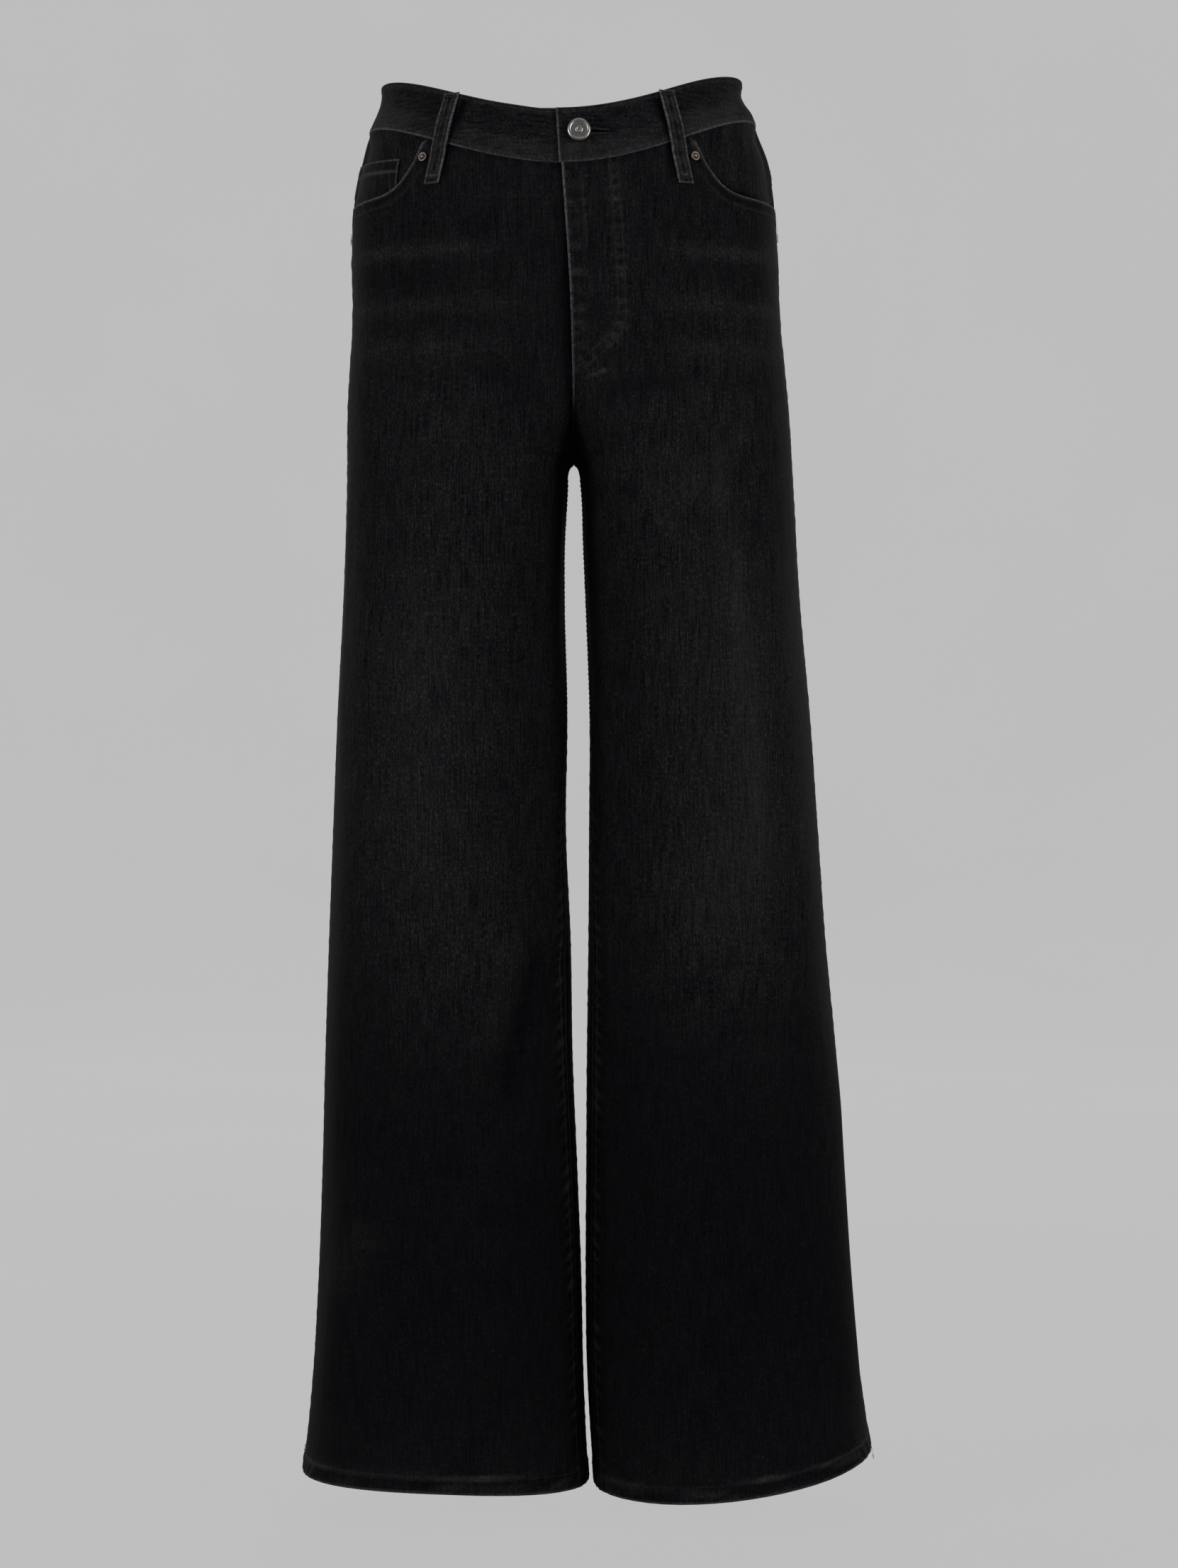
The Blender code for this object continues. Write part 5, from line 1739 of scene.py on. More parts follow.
def build_yoke(side, settings):
    """One half of the back yoke."""
    u = u_values(side, "back", -0.045, 0.0, 1.0, 0.0020)
    z, u = block(u, band_height("seam", side, "back", u) + LAP, yoke_height(u) - LAP, 0.0022, DENIM)
    s = u * length(side, "back", z)
    up, beside = z - yoke_height(u), length(side, "back", z) - s
    extra = folded_edge(up, SEAM_ROWS, SEAM_UNDER)
    edge = rub_along(up, s, 0.30, 0.0008, 51 if side == "left" else 52)
    if side == "left":
        extra = extra + folded_edge(s, SEAM_ROWS, SEAM_UNDER) * (up > 0.010)
        edge = np.maximum(edge, rub_along(s, z, 0.28, 0.0008, seed=53))
    extra = extra + outseam_ridge(beside)
    edge = np.maximum(edge, rub_along(beside, z, 0.15, 0.0007, seed=55))
    # Its fade takes the wash, the puckers' rubbed crests and the painted shade in their troughs
    marks = {"fade_and_painted_light": wash_and_painted_light(side, "back", s, z) + relief(side, "back", s, z)[1], "wear": edge}
    name = f"yoke_{side}"
    made, outer = patch(name, side, "back", s, z, 0.0, DENIM, marks, denim(settings), extra=extra)
    us = np.linspace(0.004, 0.996, 80)
    paths = [panel_path(side, "back", us, yoke_height(us) + inset) for inset in SEAM_ROWS]
    if side == "left":
        paths += [upright(inset, np.linspace(-0.012, -0.066, 20)) for inset in SEAM_ROWS]
    bits = [stitch_run(settings, partial(lay, side, "back"), level(0.0002), path) for path in paths]
    declare(made, outer, stitched=(sewn(name, bits, settings, 54),))


def seam_rise(side, s, z):
    """1 where a layer inside the pocket's opening is sewn into the side seam, 0 away from it."""
    full = length(side, "front", z)
    opening = POCKET_CORNER_Z - POCKET_CURVE["down"][-1]
    return (1 - ease((full - s) / 0.013)) * ease((z - opening - 0.001) / 0.010)


def band_rise(side, s, z):
    """1 where a layer in the pocket's opening is sewn under the waistband, 0 away from it."""
    u = s / length(side, "front", z)
    away, _ = to_path(pocket_path(side)[::6], s, z)
    below = band_height("seam", side, "front", u) - z
    shown = z > pocket_height(side, u)
    return ease((away - 0.0015) / 0.007) * (1 - ease((below - 0.001) / 0.009)) * shown


def build_facing(side, settings):
    """A front pocket's denim facing, which shows in its opening."""
    u = u_values(side, "front", -0.05, rivet_share(side) * 0.80, 1.0, 0.0018)
    opening = np.minimum(pocket_height(side, u), POCKET_CORNER_Z)
    z, u = block(u, band_height("seam", side, "front", u) + LAP, opening - FACING_BELOW, 0.0020, DENIM)
    s = u * length(side, "front", z)
    beside = length(side, "front", z) - s
    above = z - np.minimum(pocket_height(side, s / length(side, "front", z)), POCKET_CORNER_Z)
    # Painted shadow: the facing is darker just above the opening's edge, where the front shades it
    shade = 0.58 + 0.20 * ripple(s / 0.011, 61) - 0.9 * (1 - ease((above - 0.001) / 0.007))
    marks = {"fade_and_painted_light": shade, "wear": rub_along(beside, z, 0.15, 0.0007, 66)}
    rise = np.maximum(seam_rise(side, s, z), band_rise(side, s, z))
    lift = -2 * LAYER + (2 * LAYER - GAP) * rise
    extra, kept = outseam_ridge(beside), clear_of_rivet(side, s, z)
    name = f"pocket_facing_{side}"
    cloth = denim(settings)
    made, outer = patch(name, side, "front", s, z, lift, DENIM, marks, cloth, extra=extra, kept=kept)
    declare(made, outer)


def build_bag(side):
    """One front pocket bag of cotton."""
    first = rivet_share(side) * 0.56
    u = u_values(side, "front", -0.10, first, 1.0, 0.0036, POCKETING)
    low = -0.165 - 0.060 * np.sin(math.pi * (0.15 + 0.75 * (u - first) / (1 - first)))
    z, u = block(u, band_height("seam", side, "front", u) + LAP, low, 0.0036, POCKETING)
    s = u * length(side, "front", z)
    cotton = plain_weave("dark_pocketing", (0.020, 0.020, 0.022), (0.050, 0.050, 0.054), 0.0009)
    lift = BAG_LIFT + (2 * LAYER - GAP) * band_rise(side, s, z)
    kept = clear_of_rivet(side, s, z, 0.0022)
    name = f"pocket_bag_{side}"
    made, outer = patch(name, side, "front", s, z, lift, POCKETING, {}, cotton, "pocketing", kept=kept)
    declare(made, outer)


def coin_top(u, inner_u):
    """Height of the coin pocket's top edge."""
    return -0.0435 + 0.0065 * (u - inner_u) / (1 - inner_u)


def coin_face(s, z):
    """Height of the coin pocket's outer face: under the front, and in the side seam."""
    return (LAYER + 0.0010) * seam_rise("right", s, z) - LAYER


def build_coin_pocket(settings):
    """The small pocket on the wearer's right facing, with its stitched top hem."""
    side = "right"
    inner_u = float(point_u(side, "front", 0.1185, -0.045))
    u = u_values(side, "front", -0.06, inner_u, 1.0, 0.0012)
    top = coin_top(u, inner_u)
    z, u = block(u, top, -0.094 + 0 * u, 0.0012, DENIM)
    s = u * length(side, "front", z)
    down, inward = top - z, s - inner_u * length(side, "front", z)
    extra = folded_edge(down, COIN_ROWS, COIN_UNDER, 0.0002)
    wear = np.maximum(rub_along(down, s, 0.60, 0.0005, 62), rub_along(inward, z, 0.45, 0.0004, 63))
    wear = np.maximum(wear, 0.50 * bell(down - COIN_ROWS[1], 0.0009))
    marks = {"fade_and_painted_light": 0.62 + 0.35 * ripple(s / 0.0045 + 5 * z, 65) * ease(down / 0.004), "wear": wear}
    cloth = denim(settings)
    made, outer = patch("coin_pocket", side, "front", s, z, coin_face(s, z), DENIM, marks, cloth, extra=extra)
    us = np.linspace(inner_u + 0.01, 0.99, 40)
    paths = [panel_path(side, "front", us, coin_top(us, inner_u) - inset) for inset in COIN_ROWS]
    bits = [stitch_run(settings, partial(lay, side, "front"), coin_face, path) for path in paths]
    declare(made, outer, stitched=(sewn("coin_pocket", bits, settings, 64),))


def back_pocket_grid(side, across, down):
    """Distances and heights of places on a back pocket, by shares across and down it."""
    top_z, low_z, point_drop = -0.098, -0.226, 0.020
    foot = low_z - point_drop * (1 - np.abs(2 * across - 1) ** 1.15)
    z = top_z + (foot - top_z) * down
    v = (top_z - z) / (top_z - low_z)
    first, last = 0.125 + 0.055 * v, 0.715 - 0.025 * v
    return (first + (last - first) * across) * length(side, "back", z), z


def build_back_pocket(side, settings):
    """One patch pocket: turned edges, double rows, a thicker hem across its opening."""
    wide, tall = BACK_POCKET_SIZE
    across = spaced(0.0, wide, 0.0016, DENIM) / wide
    down = spaced(0.0, tall, 0.0016, DENIM) / tall
    s, z = back_pocket_grid(side, across[None, :], down[:, None])
    sideways = np.minimum(across, 1 - across)[None, :] * wide + 0 * s
    from_top, from_foot = down[:, None] * tall + 0 * s, (1 - down)[:, None] * tall + 0 * s
    near = np.minimum(sideways, from_foot)
    lift = GAP + 3 * SETTLE + DENIM
    puff = 0.0008 * ease(near / 0.030) * ease(from_top / 0.010)
    extra = puff + folded_edge(near, SEAM_ROWS, 0.0100)
    extra = extra + folded_edge(from_top, (BACK_POCKET_HEM,), BACK_POCKET_HEM + 0.001, 0.0005)
    seed = 71 if side == "left" else 75
    edge = rub_along(near, s + z, 0.30, 0.0008, seed)
    # The tone takes the wash, with its painted shade towards the inseam
    tone = wash_and_painted_light(side, "back", s, z) + 0.16 * ripple((s - z) / 0.007, seed + 2) * bell(near, 0.009)
    marks = {"fade_and_painted_light": tone, "wear": np.maximum(edge, rub_along(from_top, s, 0.36, 0.0010, seed + 1))}
    name = f"back_pocket_{side}"
    made, outer = patch(name, side, "back", s, z, lift, DENIM, marks, denim(settings), extra=extra)
    place = partial(lay, side, "back")
    paths = []
    for inset in SEAM_ROWS:
        a, b = inset / wide, 1 - inset / tall
        t = np.linspace(0, 1, 40)
        corners = [(a + 0 * t, t * b), (a + (1 - 2 * a) * t, b + 0 * t), (1 - a + 0 * t, b - t * b)]
        u, v = (np.concatenate(part) for part in zip(*corners))
        paths.append(np.stack(back_pocket_grid(side, u, v), axis=-1))
    t = np.linspace(0.02, 0.98, 60)
    paths.append(np.stack(back_pocket_grid(side, t, BACK_POCKET_HEM / tall + 0 * t), axis=-1))
    bits = [stitch_run(settings, place, level(lift + 0.0003), path) for path in paths]
    for end in (0.035, 0.965):
        ends = np.array(back_pocket_grid(side, end + np.zeros(2), np.array([0.012, 0.070]))).T
        bits.append(bar_tack(place, level(lift + 0.0004), *ends, 0.0012, 14))
    stitched = sewn(name, bits, settings, seed + 3)
    declare(made, outer, stitched=(stitched,))


def lay_across(half, s, z, lift):
    """Points across the centre line: s is positive on the wearer's left."""
    s, z, lift = same_shape(s, z, lift)
    left = lay("left", half, np.maximum(s, 0), z, lift)
    right = lay("right", half, np.maximum(-s, 0), z, lift)
    share = ease(s / 0.002 + 0.5)[..., None]
    return left * share + right * (1 - share)


def strip(piece, half, s, z, lift, thick, marks, material, slot):
    """A piece across the centre line."""
    bend = rounded(edge_distance(s, z), thick)
    outer = lay_across(half, s, z, lift - bend)
    inner = lay_across(half, s, z, lift - thick + bend)
    return shell(piece, outer, inner, np.stack([s, z], axis=-1), marks, material, slot), outer


def build_fly(settings):
    """The fly's facing, and the zip tape and fly shield hidden behind it."""
    side, half = "left", "front"
    edge = FLY_WIDTH / float(length(side, half, -0.12))
    u = u_values(side, half, -0.12, 0.012, edge, 0.0025)
    foot = FLY_END_Z + 0.060 * (u / edge) ** 3
    z, u = block(u, band_height("seam", side, half, u) + LAP, foot, 0.0035, DENIM)
    s = u * length(side, half, z)
    marks = {"fade_and_painted_light": 0.10 + 0 * z, "wear": 0 * z}
    made, outer = patch("fly_facing", side, half, s, z, -LAYER, DENIM, marks, denim(settings))
    declare(made, outer)
    tape = plain_weave("black_zip_tape", (0.006, 0.006, 0.007), (0.022, 0.022, 0.024), 0.0007)
    tape_lift = -2 * LAYER - SETTLE
    shield_lift = tape_lift - ZIP_TAPE - GAP - SETTLE
    plans = (
        ("zip_tape", -0.012, 0.012, FLY_END_Z + 0.014, tape_lift, ZIP_TAPE, tape, "zip_tape"),
        ("fly_shield", -0.012, 0.036, FLY_END_Z, shield_lift, SHIELD, denim(settings), "denim"),
    )
    for name, first, last, foot, lift, thick, material, slot in plans:
        s = spaced(first, last, 0.0020, thick)
        u = np.abs(s) / float(length(side, half, -0.05))
        seam = np.where(s >= 0, band_height("seam", "left", half, u), band_height("seam", "right", half, u))
        z, s = block(s, seam + LAP, foot + 0 * s, 0.0035, thick)
        marks = {"fade_and_painted_light": 0.06 + 0 * z, "wear": 0 * z}
        made, outer = strip(name, half, s, z, lift, thick, marks, material, slot)
        declare(made, outer)


# ---------------------------------------------------------------- belt loops


def s_at_x(side, half, x, z):
    """Distances across a panel where it has the given distances from the middle plane."""
    u = np.array([point_u(side, half, x_k, z_k) for x_k, z_k in zip(x, z)])
    return u * length(side, half, z)


def loop_lift(v, seam_v):
    """Height of a loop's outer face: it stands off the waistband and lies on the panel below."""
    base = GAP + LOOP_THICK + BAND_PROUD * (1 - ease((v - seam_v - 0.04) / 0.12))
    return base + LOOP_RISE * np.sin(math.pi * np.minimum(1.0, v / (seam_v + 0.18))) ** 2


def build_loop(loop, seed, settings):
    """One belt loop: a folded strip with two stitched lines, worn edges and a bar-tack at each end."""
    name, side, half, x_top, x_foot, z_foot = loop
    centred = x_top == 0.0
    u_top = 0.0 if centred else float(point_u(side, half, x_top, 0.0))
    z_top = float(band_height("top", side, half, u_top)) - LOOP_TOP_DROP
    tall = z_top - z_foot
    seam_v = (z_top - float(band_height("seam", side, half, u_top))) / tall
    down = spaced(0.0, tall, 0.0011, LOOP_THICK)
    across = spaced(-LOOP_WIDTH / 2, LOOP_WIDTH / 2, 0.0008, LOOP_THICK)
    x = x_top + (x_foot - x_top) * down / tall
    middle = 0 * down if centred else s_at_x(side, half, x, z_top - down)

    def place(w, d, lift):
        height = np.interp(d, down, loop_lift(down / tall, seam_v)) + lift
        if centred:
            return lay_across(half, w, z_top - d, height)
        return lay(side, half, np.interp(d, down, middle) + w, z_top - d, height)

    w, d = np.meshgrid(across, down)
    sides = LOOP_WIDTH / 2 - np.abs(w)
    bend = rounded(edge_distance(w, d), LOOP_THICK)
    height = 0.00035 * bell(sides - 0.0010, 0.0009)
    for tack in (LOOP_TACK, tall - LOOP_TACK):
        height = height - 0.00045 * bell(d - tack, 0.0014)
    height = height - 0.00035 * bell(sides - LOOP_ROW, 0.0007)
    outer = place(w, d, height - bend)
    inner = place(w, d, bend - LOOP_THICK)
    wear = rub_along(sides, d, 0.80, 0.0008, seed)
    wear = np.maximum(wear, rub_along(np.minimum(d, tall - d), w, 0.70, 0.0003, seed + 1))
    wear = np.maximum(wear, 0.30 * bell(sides - 0.0034, 0.0007) * (0.7 + 0.4 * ripple(d / 0.003, seed)))
    wear = np.maximum(wear, 0.40 * bell(tall - d - 0.0058, 0.0006))
    tone = 0.95 + 0.60 * ripple(d / 0.005, seed + 2) - 0.3 * bell(w, 0.0012)
    made = shell(name, outer, inner, np.stack([w, d], axis=-1), {"fade_and_painted_light": tone, "wear": wear}, denim(settings))
    line, end = LOOP_WIDTH / 2 - LOOP_ROW, LOOP_WIDTH / 2 - 0.0012
    face = level(0.0002)
    bits = [stitch_run(settings, place, face, [(at, 0.002), (at, tall - 0.002)]) for at in (-line, line)]
    for tack in (LOOP_TACK, tall - LOOP_TACK):
        bits.append(bar_tack(place, face, (-end, tack), (end, tack), 0.0010, 16))
    declare(made, outer, stitched=(sewn(name, bits, settings, seed + 3),))


# ---------------------------------------------------------------- metal


def turned(name, centre, axis, profile, material, slot, piece, sides=72):
    """A turned metal piece. The profile holds radii, distances along the axis and how bright it is rubbed."""
    axis = axis / np.linalg.norm(axis)
    first = np.cross(axis, (0.0, 0.0, 1.0))
    first /= np.linalg.norm(first)
    angle = circle(sides)[:, None]
    spokes = first * np.cos(angle) + np.cross(axis, first) * np.sin(angle)
    mesh = lathe(profile, centre, axis, spokes)
    bmesh.ops.recalc_face_normals(mesh, faces=mesh.faces)
    made = finished(name, unpacked(name, mesh), material)
    bright = [[rubbed] * (sides if radius else 1) for radius, _, rubbed in profile]
    paint(made, "wear", np.concatenate(bright))
    settle(made, slot, piece)


def on_front(side, s, z):
    """A place on the front's surface before its folds, and its outward direction."""
    q = quarter(side, "front")
    u, z = np.array([s / float(length(side, "front", z))]), np.array([z])
    return on_grid(q["points"], u, z)[0], on_grid(q["out"], u, z)[0]


BUTTON_PROFILE = (
    (0.0, 0.00360, 0.45),
    (0.0008, 0.00362, 0.45),
    (0.0013, 0.00372, 0.60),
    (0.0017, 0.00395, 0.95),
    (0.0021, 0.00400, 1.00),
    (0.0025, 0.00390, 0.85),
    (0.0028, 0.00355, 0.25),
    (0.0031, 0.00338, 0.10),
    (0.0037, 0.00342, 0.40),
    (0.0044, 0.00350, 0.60),
    (0.0050, 0.00352, 0.60),
    (0.0054, 0.00344, 0.35),
    (0.0057, 0.00340, 0.10),
    (0.0060, 0.00356, 0.35),
    (0.0064, 0.00384, 0.90),
    (0.0068, 0.00396, 1.00),
    (0.0073, 0.00392, 0.95),
    (0.0078, 0.00370, 0.60),
    (0.0082, 0.00330, 0.25),
    (0.00845, 0.00280, 0.10),
    (0.0085, 0.00235, 0.05),
    (0.0084, 0.00185, 0.05),
    (0.0081, 0.00145, 0.10),
    (0.0060, 0.00110, 0.0),
    (0.0036, 0.00075, 0.0),
    (0.0031, 0.00050, 0.0),
    (0.0030, 0.00010, 0.0),
)


def build_button(settings):
    """The shank button: ringed cap, neck through the keyhole, nail through the inner end, and its tack."""
    face = BAND_PROUD + 0.0005
    inner_end = BAND_PROUD - FOLDED_DENIM - GAP
    tack = inner_end - FOLDED_DENIM
    metal = worn_metal("antique_silver", tuple(settings.silver_dark), tuple(settings.silver), 0.30)
    behind = (
        (0.0030, inner_end + GAP, 0.0),
        (0.0013, inner_end + GAP, 0.0),
        (0.0013, tack - GAP, 0.2),
        (0.0044, tack - GAP, 0.3),
        (0.0046, tack - 0.0007, 0.7),
        (0.0042, tack - 0.0016, 0.8),
        (0.0030, tack - 0.0018, 0.5),
        (0.0, tack - 0.0018, 0.5),
    )
    profile = tuple((r, face + reach, rubbed) for r, reach, rubbed in BUTTON_PROFILE) + behind
    centre, axis = on_front("left", BUTTON_S, BUTTON_Z)
    turned("button_metal", centre, axis, profile, metal, "button_metal", "button")


def build_rivets(settings):
    """The two rivets: cap with a bright nub, post through the layers and burr inside."""
    metal = worn_metal("dull_copper_brown", tuple(settings.copper_dark), tuple(settings.copper), 0.34)
    behind = BAG_LIFT - POCKETING - 2 * SETTLE
    profile = (
        (0.0, 0.0023, 1.0),
        (0.0006, 0.00226, 1.0),
        (0.0010, 0.00205, 0.9),
        (0.0013, 0.00160, 0.4),
        (0.0015, 0.00125, 0.0),
        (0.0020, 0.00125, 0.2),
        (0.0025, 0.00150, 0.5),
        (0.0029, 0.00158, 0.7),
        (0.0033, 0.00135, 0.5),
        (0.0036, 0.00085, 0.3),
        (0.0036, 0.00055, 0.1),
        (0.0034, 0.00046, 0.0),
        (0.0011, 0.00046, 0.0),
        (0.0011, behind - GAP, 0.0),
        (0.0027, behind - GAP, 0.2),
        (0.0027, behind - 0.0007, 0.6),
        (0.0023, behind - 0.0011, 0.7),
        (0.0, behind - 0.0012, 0.5),
    )
    for side in SIDES:
        centre, axis = on_front(side, *rivet_place(side))
        lifted = tuple((r, reach + (0.0004 if reach > 0 else 0.0), rubbed) for r, reach, rubbed in profile)
        turned(f"rivet_{side}_metal", centre, axis, lifted, metal, "rivet_metal", f"rivet_{side}", 40)


# ---------------------------------------------------------------- loose fibres


def build_fibres():
    """Lint on the legs, thread tufts at the side seams and thread ends at the outer hem."""
    chance = np.random.default_rng(42)
    bits = []
    for side in SIDES:
        for half in HALVES:
            count = 6
            z = chance.uniform(-0.98, -0.12, count)
            s = chance.uniform(0.06, 0.94, count) * length(side, half, z)
            size = chance.uniform(0.0004, 0.0016, count)
            turn = chance.uniform(0, math.pi, count)
            bits.append(fibre(side, half, s, z, size, turn, 0.00035))
    thread_bits("lint", bits, 0.00007, lint_material(), 43)
    bits = []
    for side, z0 in (("right", -0.0905), ("left", -0.0890)):
        count = 12
        z = z0 + chance.normal(0, 0.0022, count)
        s = length(side, "front", z) - np.abs(chance.normal(0, 0.0018, count)) - 0.0006
        bits.append(fibre(side, "front", s, z, 0.0024, chance.uniform(0, 3, count), 0.0009))
    for side, s_in, z0 in (("left", 0.020, -0.984), ("left", 0.017, -0.991), ("right", 0.012, -0.986)):
        count = 4
        z = z0 + chance.normal(0, 0.0012, count)
        s = length(side, "front", z) - s_in + chance.normal(0, 0.0010, count)
        bits.append(fibre(side, "front", s, z, 0.0026, chance.uniform(0.9, 1.9, count), 0.0010))
    thread_bits("thread_ends", bits, 0.00016, lint_material(), 44)


def fibre(side, half, s, z, size, turn, lift):
    """Short curved fibres lying on a panel at given places."""
    ds, dz = size * np.cos(turn) / 2, size * np.sin(turn) / 2
    place = partial(lay, side, half)
    base = panel_height(side, half, s, z) + 0.00008
    start, end = place(s - ds, z - dz, base), place(s + ds, z + dz, base)
    middle = place(s + dz * 0.4, z - ds * 0.4, base + lift)
    return start, middle, end, outwards(place, s, z, base)


# ---------------------------------------------------------------- stage


def build_stage(stage):
    """Floor that curves up into a pale wall all round, soft lights and the photograph's camera."""
    bend, wall = 1.2, 4.0
    radius = stage.floor_radius
    profile = [(radius * k / 6, 0.0) for k in range(6)]
    for turn in np.linspace(0, math.pi / 2, 12):
        profile.append((radius + bend * math.sin(turn), bend * (1 - math.cos(turn))))
    profile.append((radius + bend, wall))
    angle = circle(72)
    spokes = np.stack([np.cos(angle), np.sin(angle), 0 * angle], axis=-1)
    mesh = lathe(profile, np.array([0.0, 0.0, FLOOR_Z]), np.array([0.0, 0.0, 1.0]), spokes)
    finished("studio_floor", unpacked("studio_floor", mesh), floor_material(stage))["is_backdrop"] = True
    build_lights(stage)
    camera = bpy.data.cameras.new("photo_camera")
    camera.lens = CAMERA_LENS_MM
    camera.sensor_width = 36
    camera.clip_end = 50
    holder = linked("photo_camera", camera)
    holder.location = CAMERA_PLACE
    holder.rotation_euler = (math.pi / 2, 0, 0)
    scene = bpy.context.scene
    scene.camera = holder
    scene.view_settings.view_transform = "Standard"
    scene.view_settings.look = "None"


def floor_material(stage):
    """Pale paper that looks evenly lit to the camera and sends a softer light to everything else."""
    made, tree, shader = start_material("pale_paper")
    place = node(tree, "ShaderNodeTexCoord").outputs["Object"]
    grain = noise(tree, place, (0.6, 0.6, 0.6), 3.0)
    tone = between(tree, grain, 0.3, 0.7, 0.995, 1.005)
    tint = node(tree, "ShaderNodeVectorMath", operation="SCALE")
    tint.inputs[0].default_value = (1.0, 1.0, 1.0)
    wire(tree, tone, tint.inputs["Scale"])
    wire(tree, tint.outputs[0], shader.inputs["Emission Color"])
    preset(shader, Base_Color=(0.04, 0.04, 0.04, 1.0), Roughness=1.0, Specular_IOR_Level=0.0)
    seen = node(tree, "ShaderNodeLightPath").outputs["Is Camera Ray"]
    strength = between(tree, seen, 0.0, 1.0, stage.paper_bounce, stage.paper_glow)
    wire(tree, strength, shader.inputs["Emission Strength"])
    return made


def build_lights(stage):
    """Large soft lights in front, at both sides and behind, and a soft grey surround."""
    plans = (
        ("front_left_softbox", (-3.6, -2.7, 0.5), 2.0, 2.6, stage.front_power),
        ("front_right_softbox", (3.6, -2.7, 0.5), 2.0, 2.6, stage.front_power),
        ("left_strip", (-2.3, 3.1, 0.0), 0.9, 2.6, stage.side_power),
        ("right_strip", (2.3, 3.1, 0.0), 0.9, 2.6, stage.side_power),
        ("back_softbox", (0.0, 4.2, 1.4), 3.0, 2.4, stage.front_power),
        ("top_softbox", (0.0, -0.4, 2.8), 2.4, 2.4, stage.top_power),
    )
    target = np.array((0.0, 0.0, -0.45))
    for name, place, width, height, power in plans:
        light = bpy.data.lights.new(name, "AREA")
        light.shape = "RECTANGLE"
        light.size, light.size_y = width, height
        light.energy = power
        holder = linked(name, light)
        holder.location = place
        holder.rotation_euler = Vector(target - np.array(place)).to_track_quat("-Z", "Y").to_euler()
        holder.visible_camera = False
    world = bpy.data.worlds.new("soft_surround")
    bpy.context.scene.world = world
    world.use_nodes = True
    preset(world.node_tree.nodes["Background"], Color=(1.0, 1.0, 1.0, 1.0), Strength=stage.surround)


# ---------------------------------------------------------------- add-on


def colour_setting(name, description, default):
    """A colour that the panel shows."""
    return bpy.props.FloatVectorProperty(
        name=name, description=description, subtype="COLOR", size=3, min=0.0, max=1.0, default=default
    )


def number_setting(name, description, default, low=0.0, unit="NONE"):
    """A number that the panel shows."""
    return bpy.props.FloatProperty(name=name, description=description, default=default, min=low, unit=unit)


class JeansSettings(bpy.types.PropertyGroup):
    """Sizes and colours of the cloth, thread and metal."""

    dark: colour_setting("Dark denim", "Denim where it is least washed out", (0.0044, 0.0041, 0.0055))
    pale: colour_setting("Pale denim", "Denim where it is most washed out", (0.0222, 0.0217, 0.0238))
    rubbed: colour_setting("Rubbed edges", "Denim where its surface is rubbed off", (0.150, 0.152, 0.160))
    reverse: colour_setting("Reverse", "The cloth's inside", (0.026, 0.026, 0.029))
    thread: colour_setting("Thread", "Sewing thread", (0.0145, 0.0142, 0.0160))
    silver: colour_setting("Button rings", "The button where it is rubbed bright", (0.62, 0.60, 0.57))
    silver_dark: colour_setting("Button hollows", "The button where it is tarnished", (0.10, 0.095, 0.09))
    copper: colour_setting("Rivet rings", "The rivets where they are rubbed bright", (0.34, 0.29, 0.24))
    copper_dark: colour_setting("Rivet hollows", "The rivets where they are tarnished", (0.035, 0.030, 0.026))
    stitch_length: number_setting("Stitch length", "Length of one stitch", 0.0029, 0.001, "LENGTH")
    stitch_gap: number_setting("Stitch gap", "Cloth between two stitches", 0.0007, 0.0, "LENGTH")
    thread_width: number_setting("Thread width", "Thickness of the thread", 0.0006, 0.0001, "LENGTH")


class StageSettings(bpy.types.PropertyGroup):
    """The studio's floor and lights."""

    floor_radius: number_setting("Floor radius", "Radius of the flat floor", 4.4, 1.0, "LENGTH")
    paper_glow: number_setting("Paper brightness", "Brightness of the backdrop in the picture", 0.50)
    paper_bounce: number_setting("Paper bounce", "Light that the backdrop sends to the jeans", 0.10)
    front_power: number_setting("Front lights", "Power of each large light", 64.0, unit="POWER")
    side_power: number_setting("Side lights", "Power of each light at the sides", 17.0, unit="POWER")
    top_power: number_setting("Top light", "Power of the light above", 8.0, unit="POWER")
    surround: number_setting("Surround", "Brightness of the grey surround", 0.12)


class JEANS_OT_stage(bpy.types.Operator):
    """Make the floor, the lights and the photograph's camera"""

    bl_idname = "jeans.stage"
    bl_label = "Stage"

    def execute(self, context):
        build_stage(context.scene.jeans_stage)
        return {"FINISHED"}


class JEANS_OT_waistband(bpy.types.Operator):
    """Make the waistband with its keyhole and stitching"""

    bl_idname = "jeans.waistband"
    bl_label = "Waistband"

    def execute(self, context):
        build_waistband(context.scene.jeans)
        return {"FINISHED"}


class JEANS_OT_fronts(bpy.types.Operator):
    """Make both fronts with their stitching"""

    bl_idname = "jeans.fronts"
    bl_label = "Fronts"

    def execute(self, context):
        for side in SIDES:
            build_leg(side, "front", context.scene.jeans)
        return {"FINISHED"}


class JEANS_OT_backs(bpy.types.Operator):
    """Make both backs and the two halves of the yoke"""

    bl_idname = "jeans.backs"
    bl_label = "Backs and yoke"

    def execute(self, context):
        for side in SIDES:
            build_leg(side, "back", context.scene.jeans)
            build_yoke(side, context.scene.jeans)
        return {"FINISHED"}


class JEANS_OT_front_pockets(bpy.types.Operator):
    """Make the front pockets' facings and bags, and the coin pocket"""

    bl_idname = "jeans.front_pockets"
    bl_label = "Front pockets"

    def execute(self, context):
        for side in SIDES:
            build_facing(side, context.scene.jeans)
            build_bag(side)
        build_coin_pocket(context.scene.jeans)
        return {"FINISHED"}


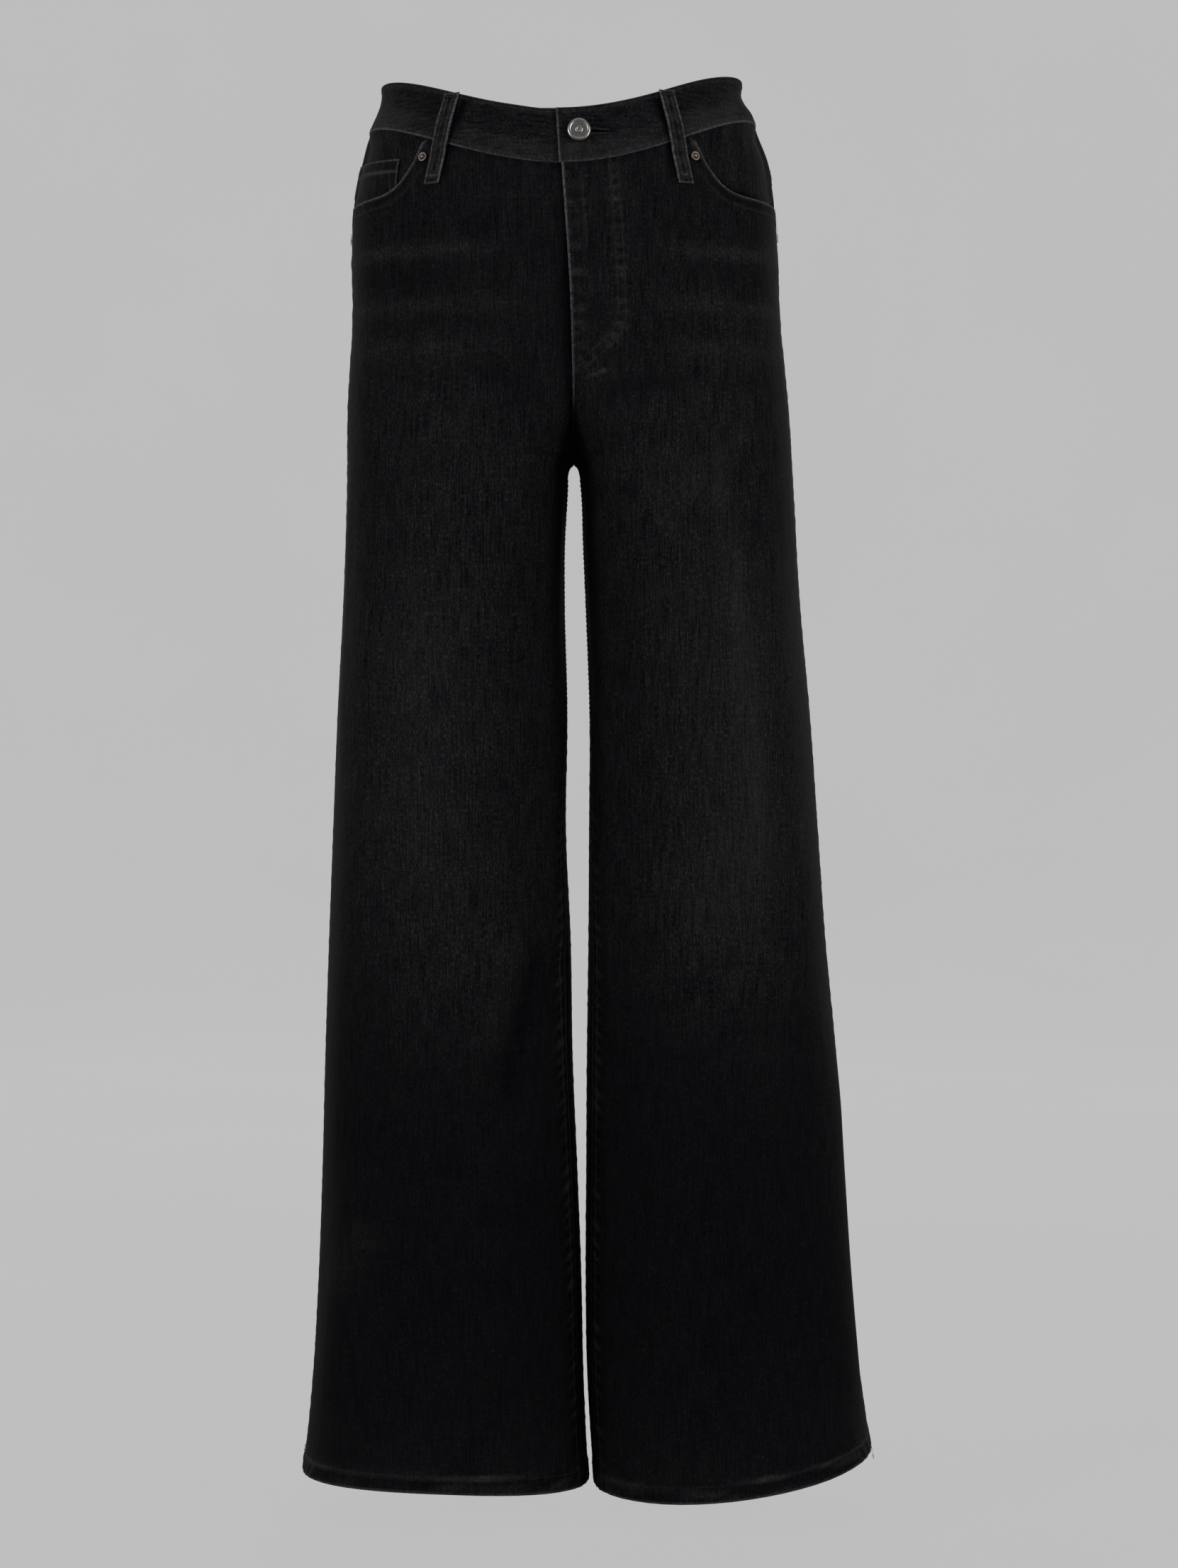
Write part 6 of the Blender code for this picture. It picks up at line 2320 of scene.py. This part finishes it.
class JEANS_OT_back_pockets(bpy.types.Operator):
    """Make the two patch pockets behind"""

    bl_idname = "jeans.back_pockets"
    bl_label = "Back pockets"

    def execute(self, context):
        for side in SIDES:
            build_back_pocket(side, context.scene.jeans)
        return {"FINISHED"}


class JEANS_OT_fly(bpy.types.Operator):
    """Make the fly's facing, zip tape and shield"""

    bl_idname = "jeans.fly"
    bl_label = "Fly"

    def execute(self, context):
        build_fly(context.scene.jeans)
        return {"FINISHED"}


class JEANS_OT_belt_loops(bpy.types.Operator):
    """Make the five belt loops"""

    bl_idname = "jeans.belt_loops"
    bl_label = "Belt loops"

    def execute(self, context):
        for number, loop in enumerate(LOOPS):
            build_loop(loop, 90 + 4 * number, context.scene.jeans)
        return {"FINISHED"}


class JEANS_OT_button(bpy.types.Operator):
    """Make the shank button"""

    bl_idname = "jeans.button"
    bl_label = "Button"

    def execute(self, context):
        build_button(context.scene.jeans)
        return {"FINISHED"}


class JEANS_OT_rivets(bpy.types.Operator):
    """Make the two rivets"""

    bl_idname = "jeans.rivets"
    bl_label = "Rivets"

    def execute(self, context):
        build_rivets(context.scene.jeans)
        return {"FINISHED"}


class JEANS_OT_fibres(bpy.types.Operator):
    """Make the lint and the loose ends of thread"""

    bl_idname = "jeans.fibres"
    bl_label = "Lint and thread ends"

    def execute(self, context):
        build_fibres()
        return {"FINISHED"}


OPERATORS = (
    JEANS_OT_stage,
    JEANS_OT_waistband,
    JEANS_OT_fronts,
    JEANS_OT_backs,
    JEANS_OT_front_pockets,
    JEANS_OT_back_pockets,
    JEANS_OT_fly,
    JEANS_OT_belt_loops,
    JEANS_OT_button,
    JEANS_OT_rivets,
    JEANS_OT_fibres,
)


class JEANS_PT_panel(bpy.types.Panel):
    """The jeans' settings and operators"""

    bl_idname = "JEANS_PT_panel"
    bl_label = "Palazzo jeans"
    bl_space_type = "VIEW_3D"
    bl_region_type = "UI"
    bl_category = "Jeans"

    def draw(self, context):
        for settings in (context.scene.jeans, context.scene.jeans_stage):
            for key in settings.__annotations__:
                self.layout.prop(settings, key)
        for operator in OPERATORS:
            self.layout.operator(operator.bl_idname)


CLASSES = (JeansSettings, StageSettings, *OPERATORS, JEANS_PT_panel)


def register():
    """Register the add-on's classes and settings."""
    for each in CLASSES:
        bpy.utils.register_class(each)
    bpy.types.Scene.jeans = bpy.props.PointerProperty(type=JeansSettings)
    bpy.types.Scene.jeans_stage = bpy.props.PointerProperty(type=StageSettings)


def unregister():
    """Take the add-on's classes and settings out again."""
    del bpy.types.Scene.jeans_stage
    del bpy.types.Scene.jeans
    for each in reversed(CLASSES):
        bpy.utils.unregister_class(each)


def main():
    """Build everything."""
    register()
    bpy.ops.jeans.stage()
    bpy.ops.jeans.waistband()
    bpy.ops.jeans.fronts()
    bpy.ops.jeans.backs()
    bpy.ops.jeans.front_pockets()
    bpy.ops.jeans.back_pockets()
    bpy.ops.jeans.fly()
    bpy.ops.jeans.belt_loops()
    bpy.ops.jeans.button()
    bpy.ops.jeans.rivets()
    bpy.ops.jeans.fibres()
    boxes = {"cad": cad_box, "visual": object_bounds()}
    {key: np.array(box).tolist() for key, box in boxes.items()}


if __name__ == "__main__":
    main()
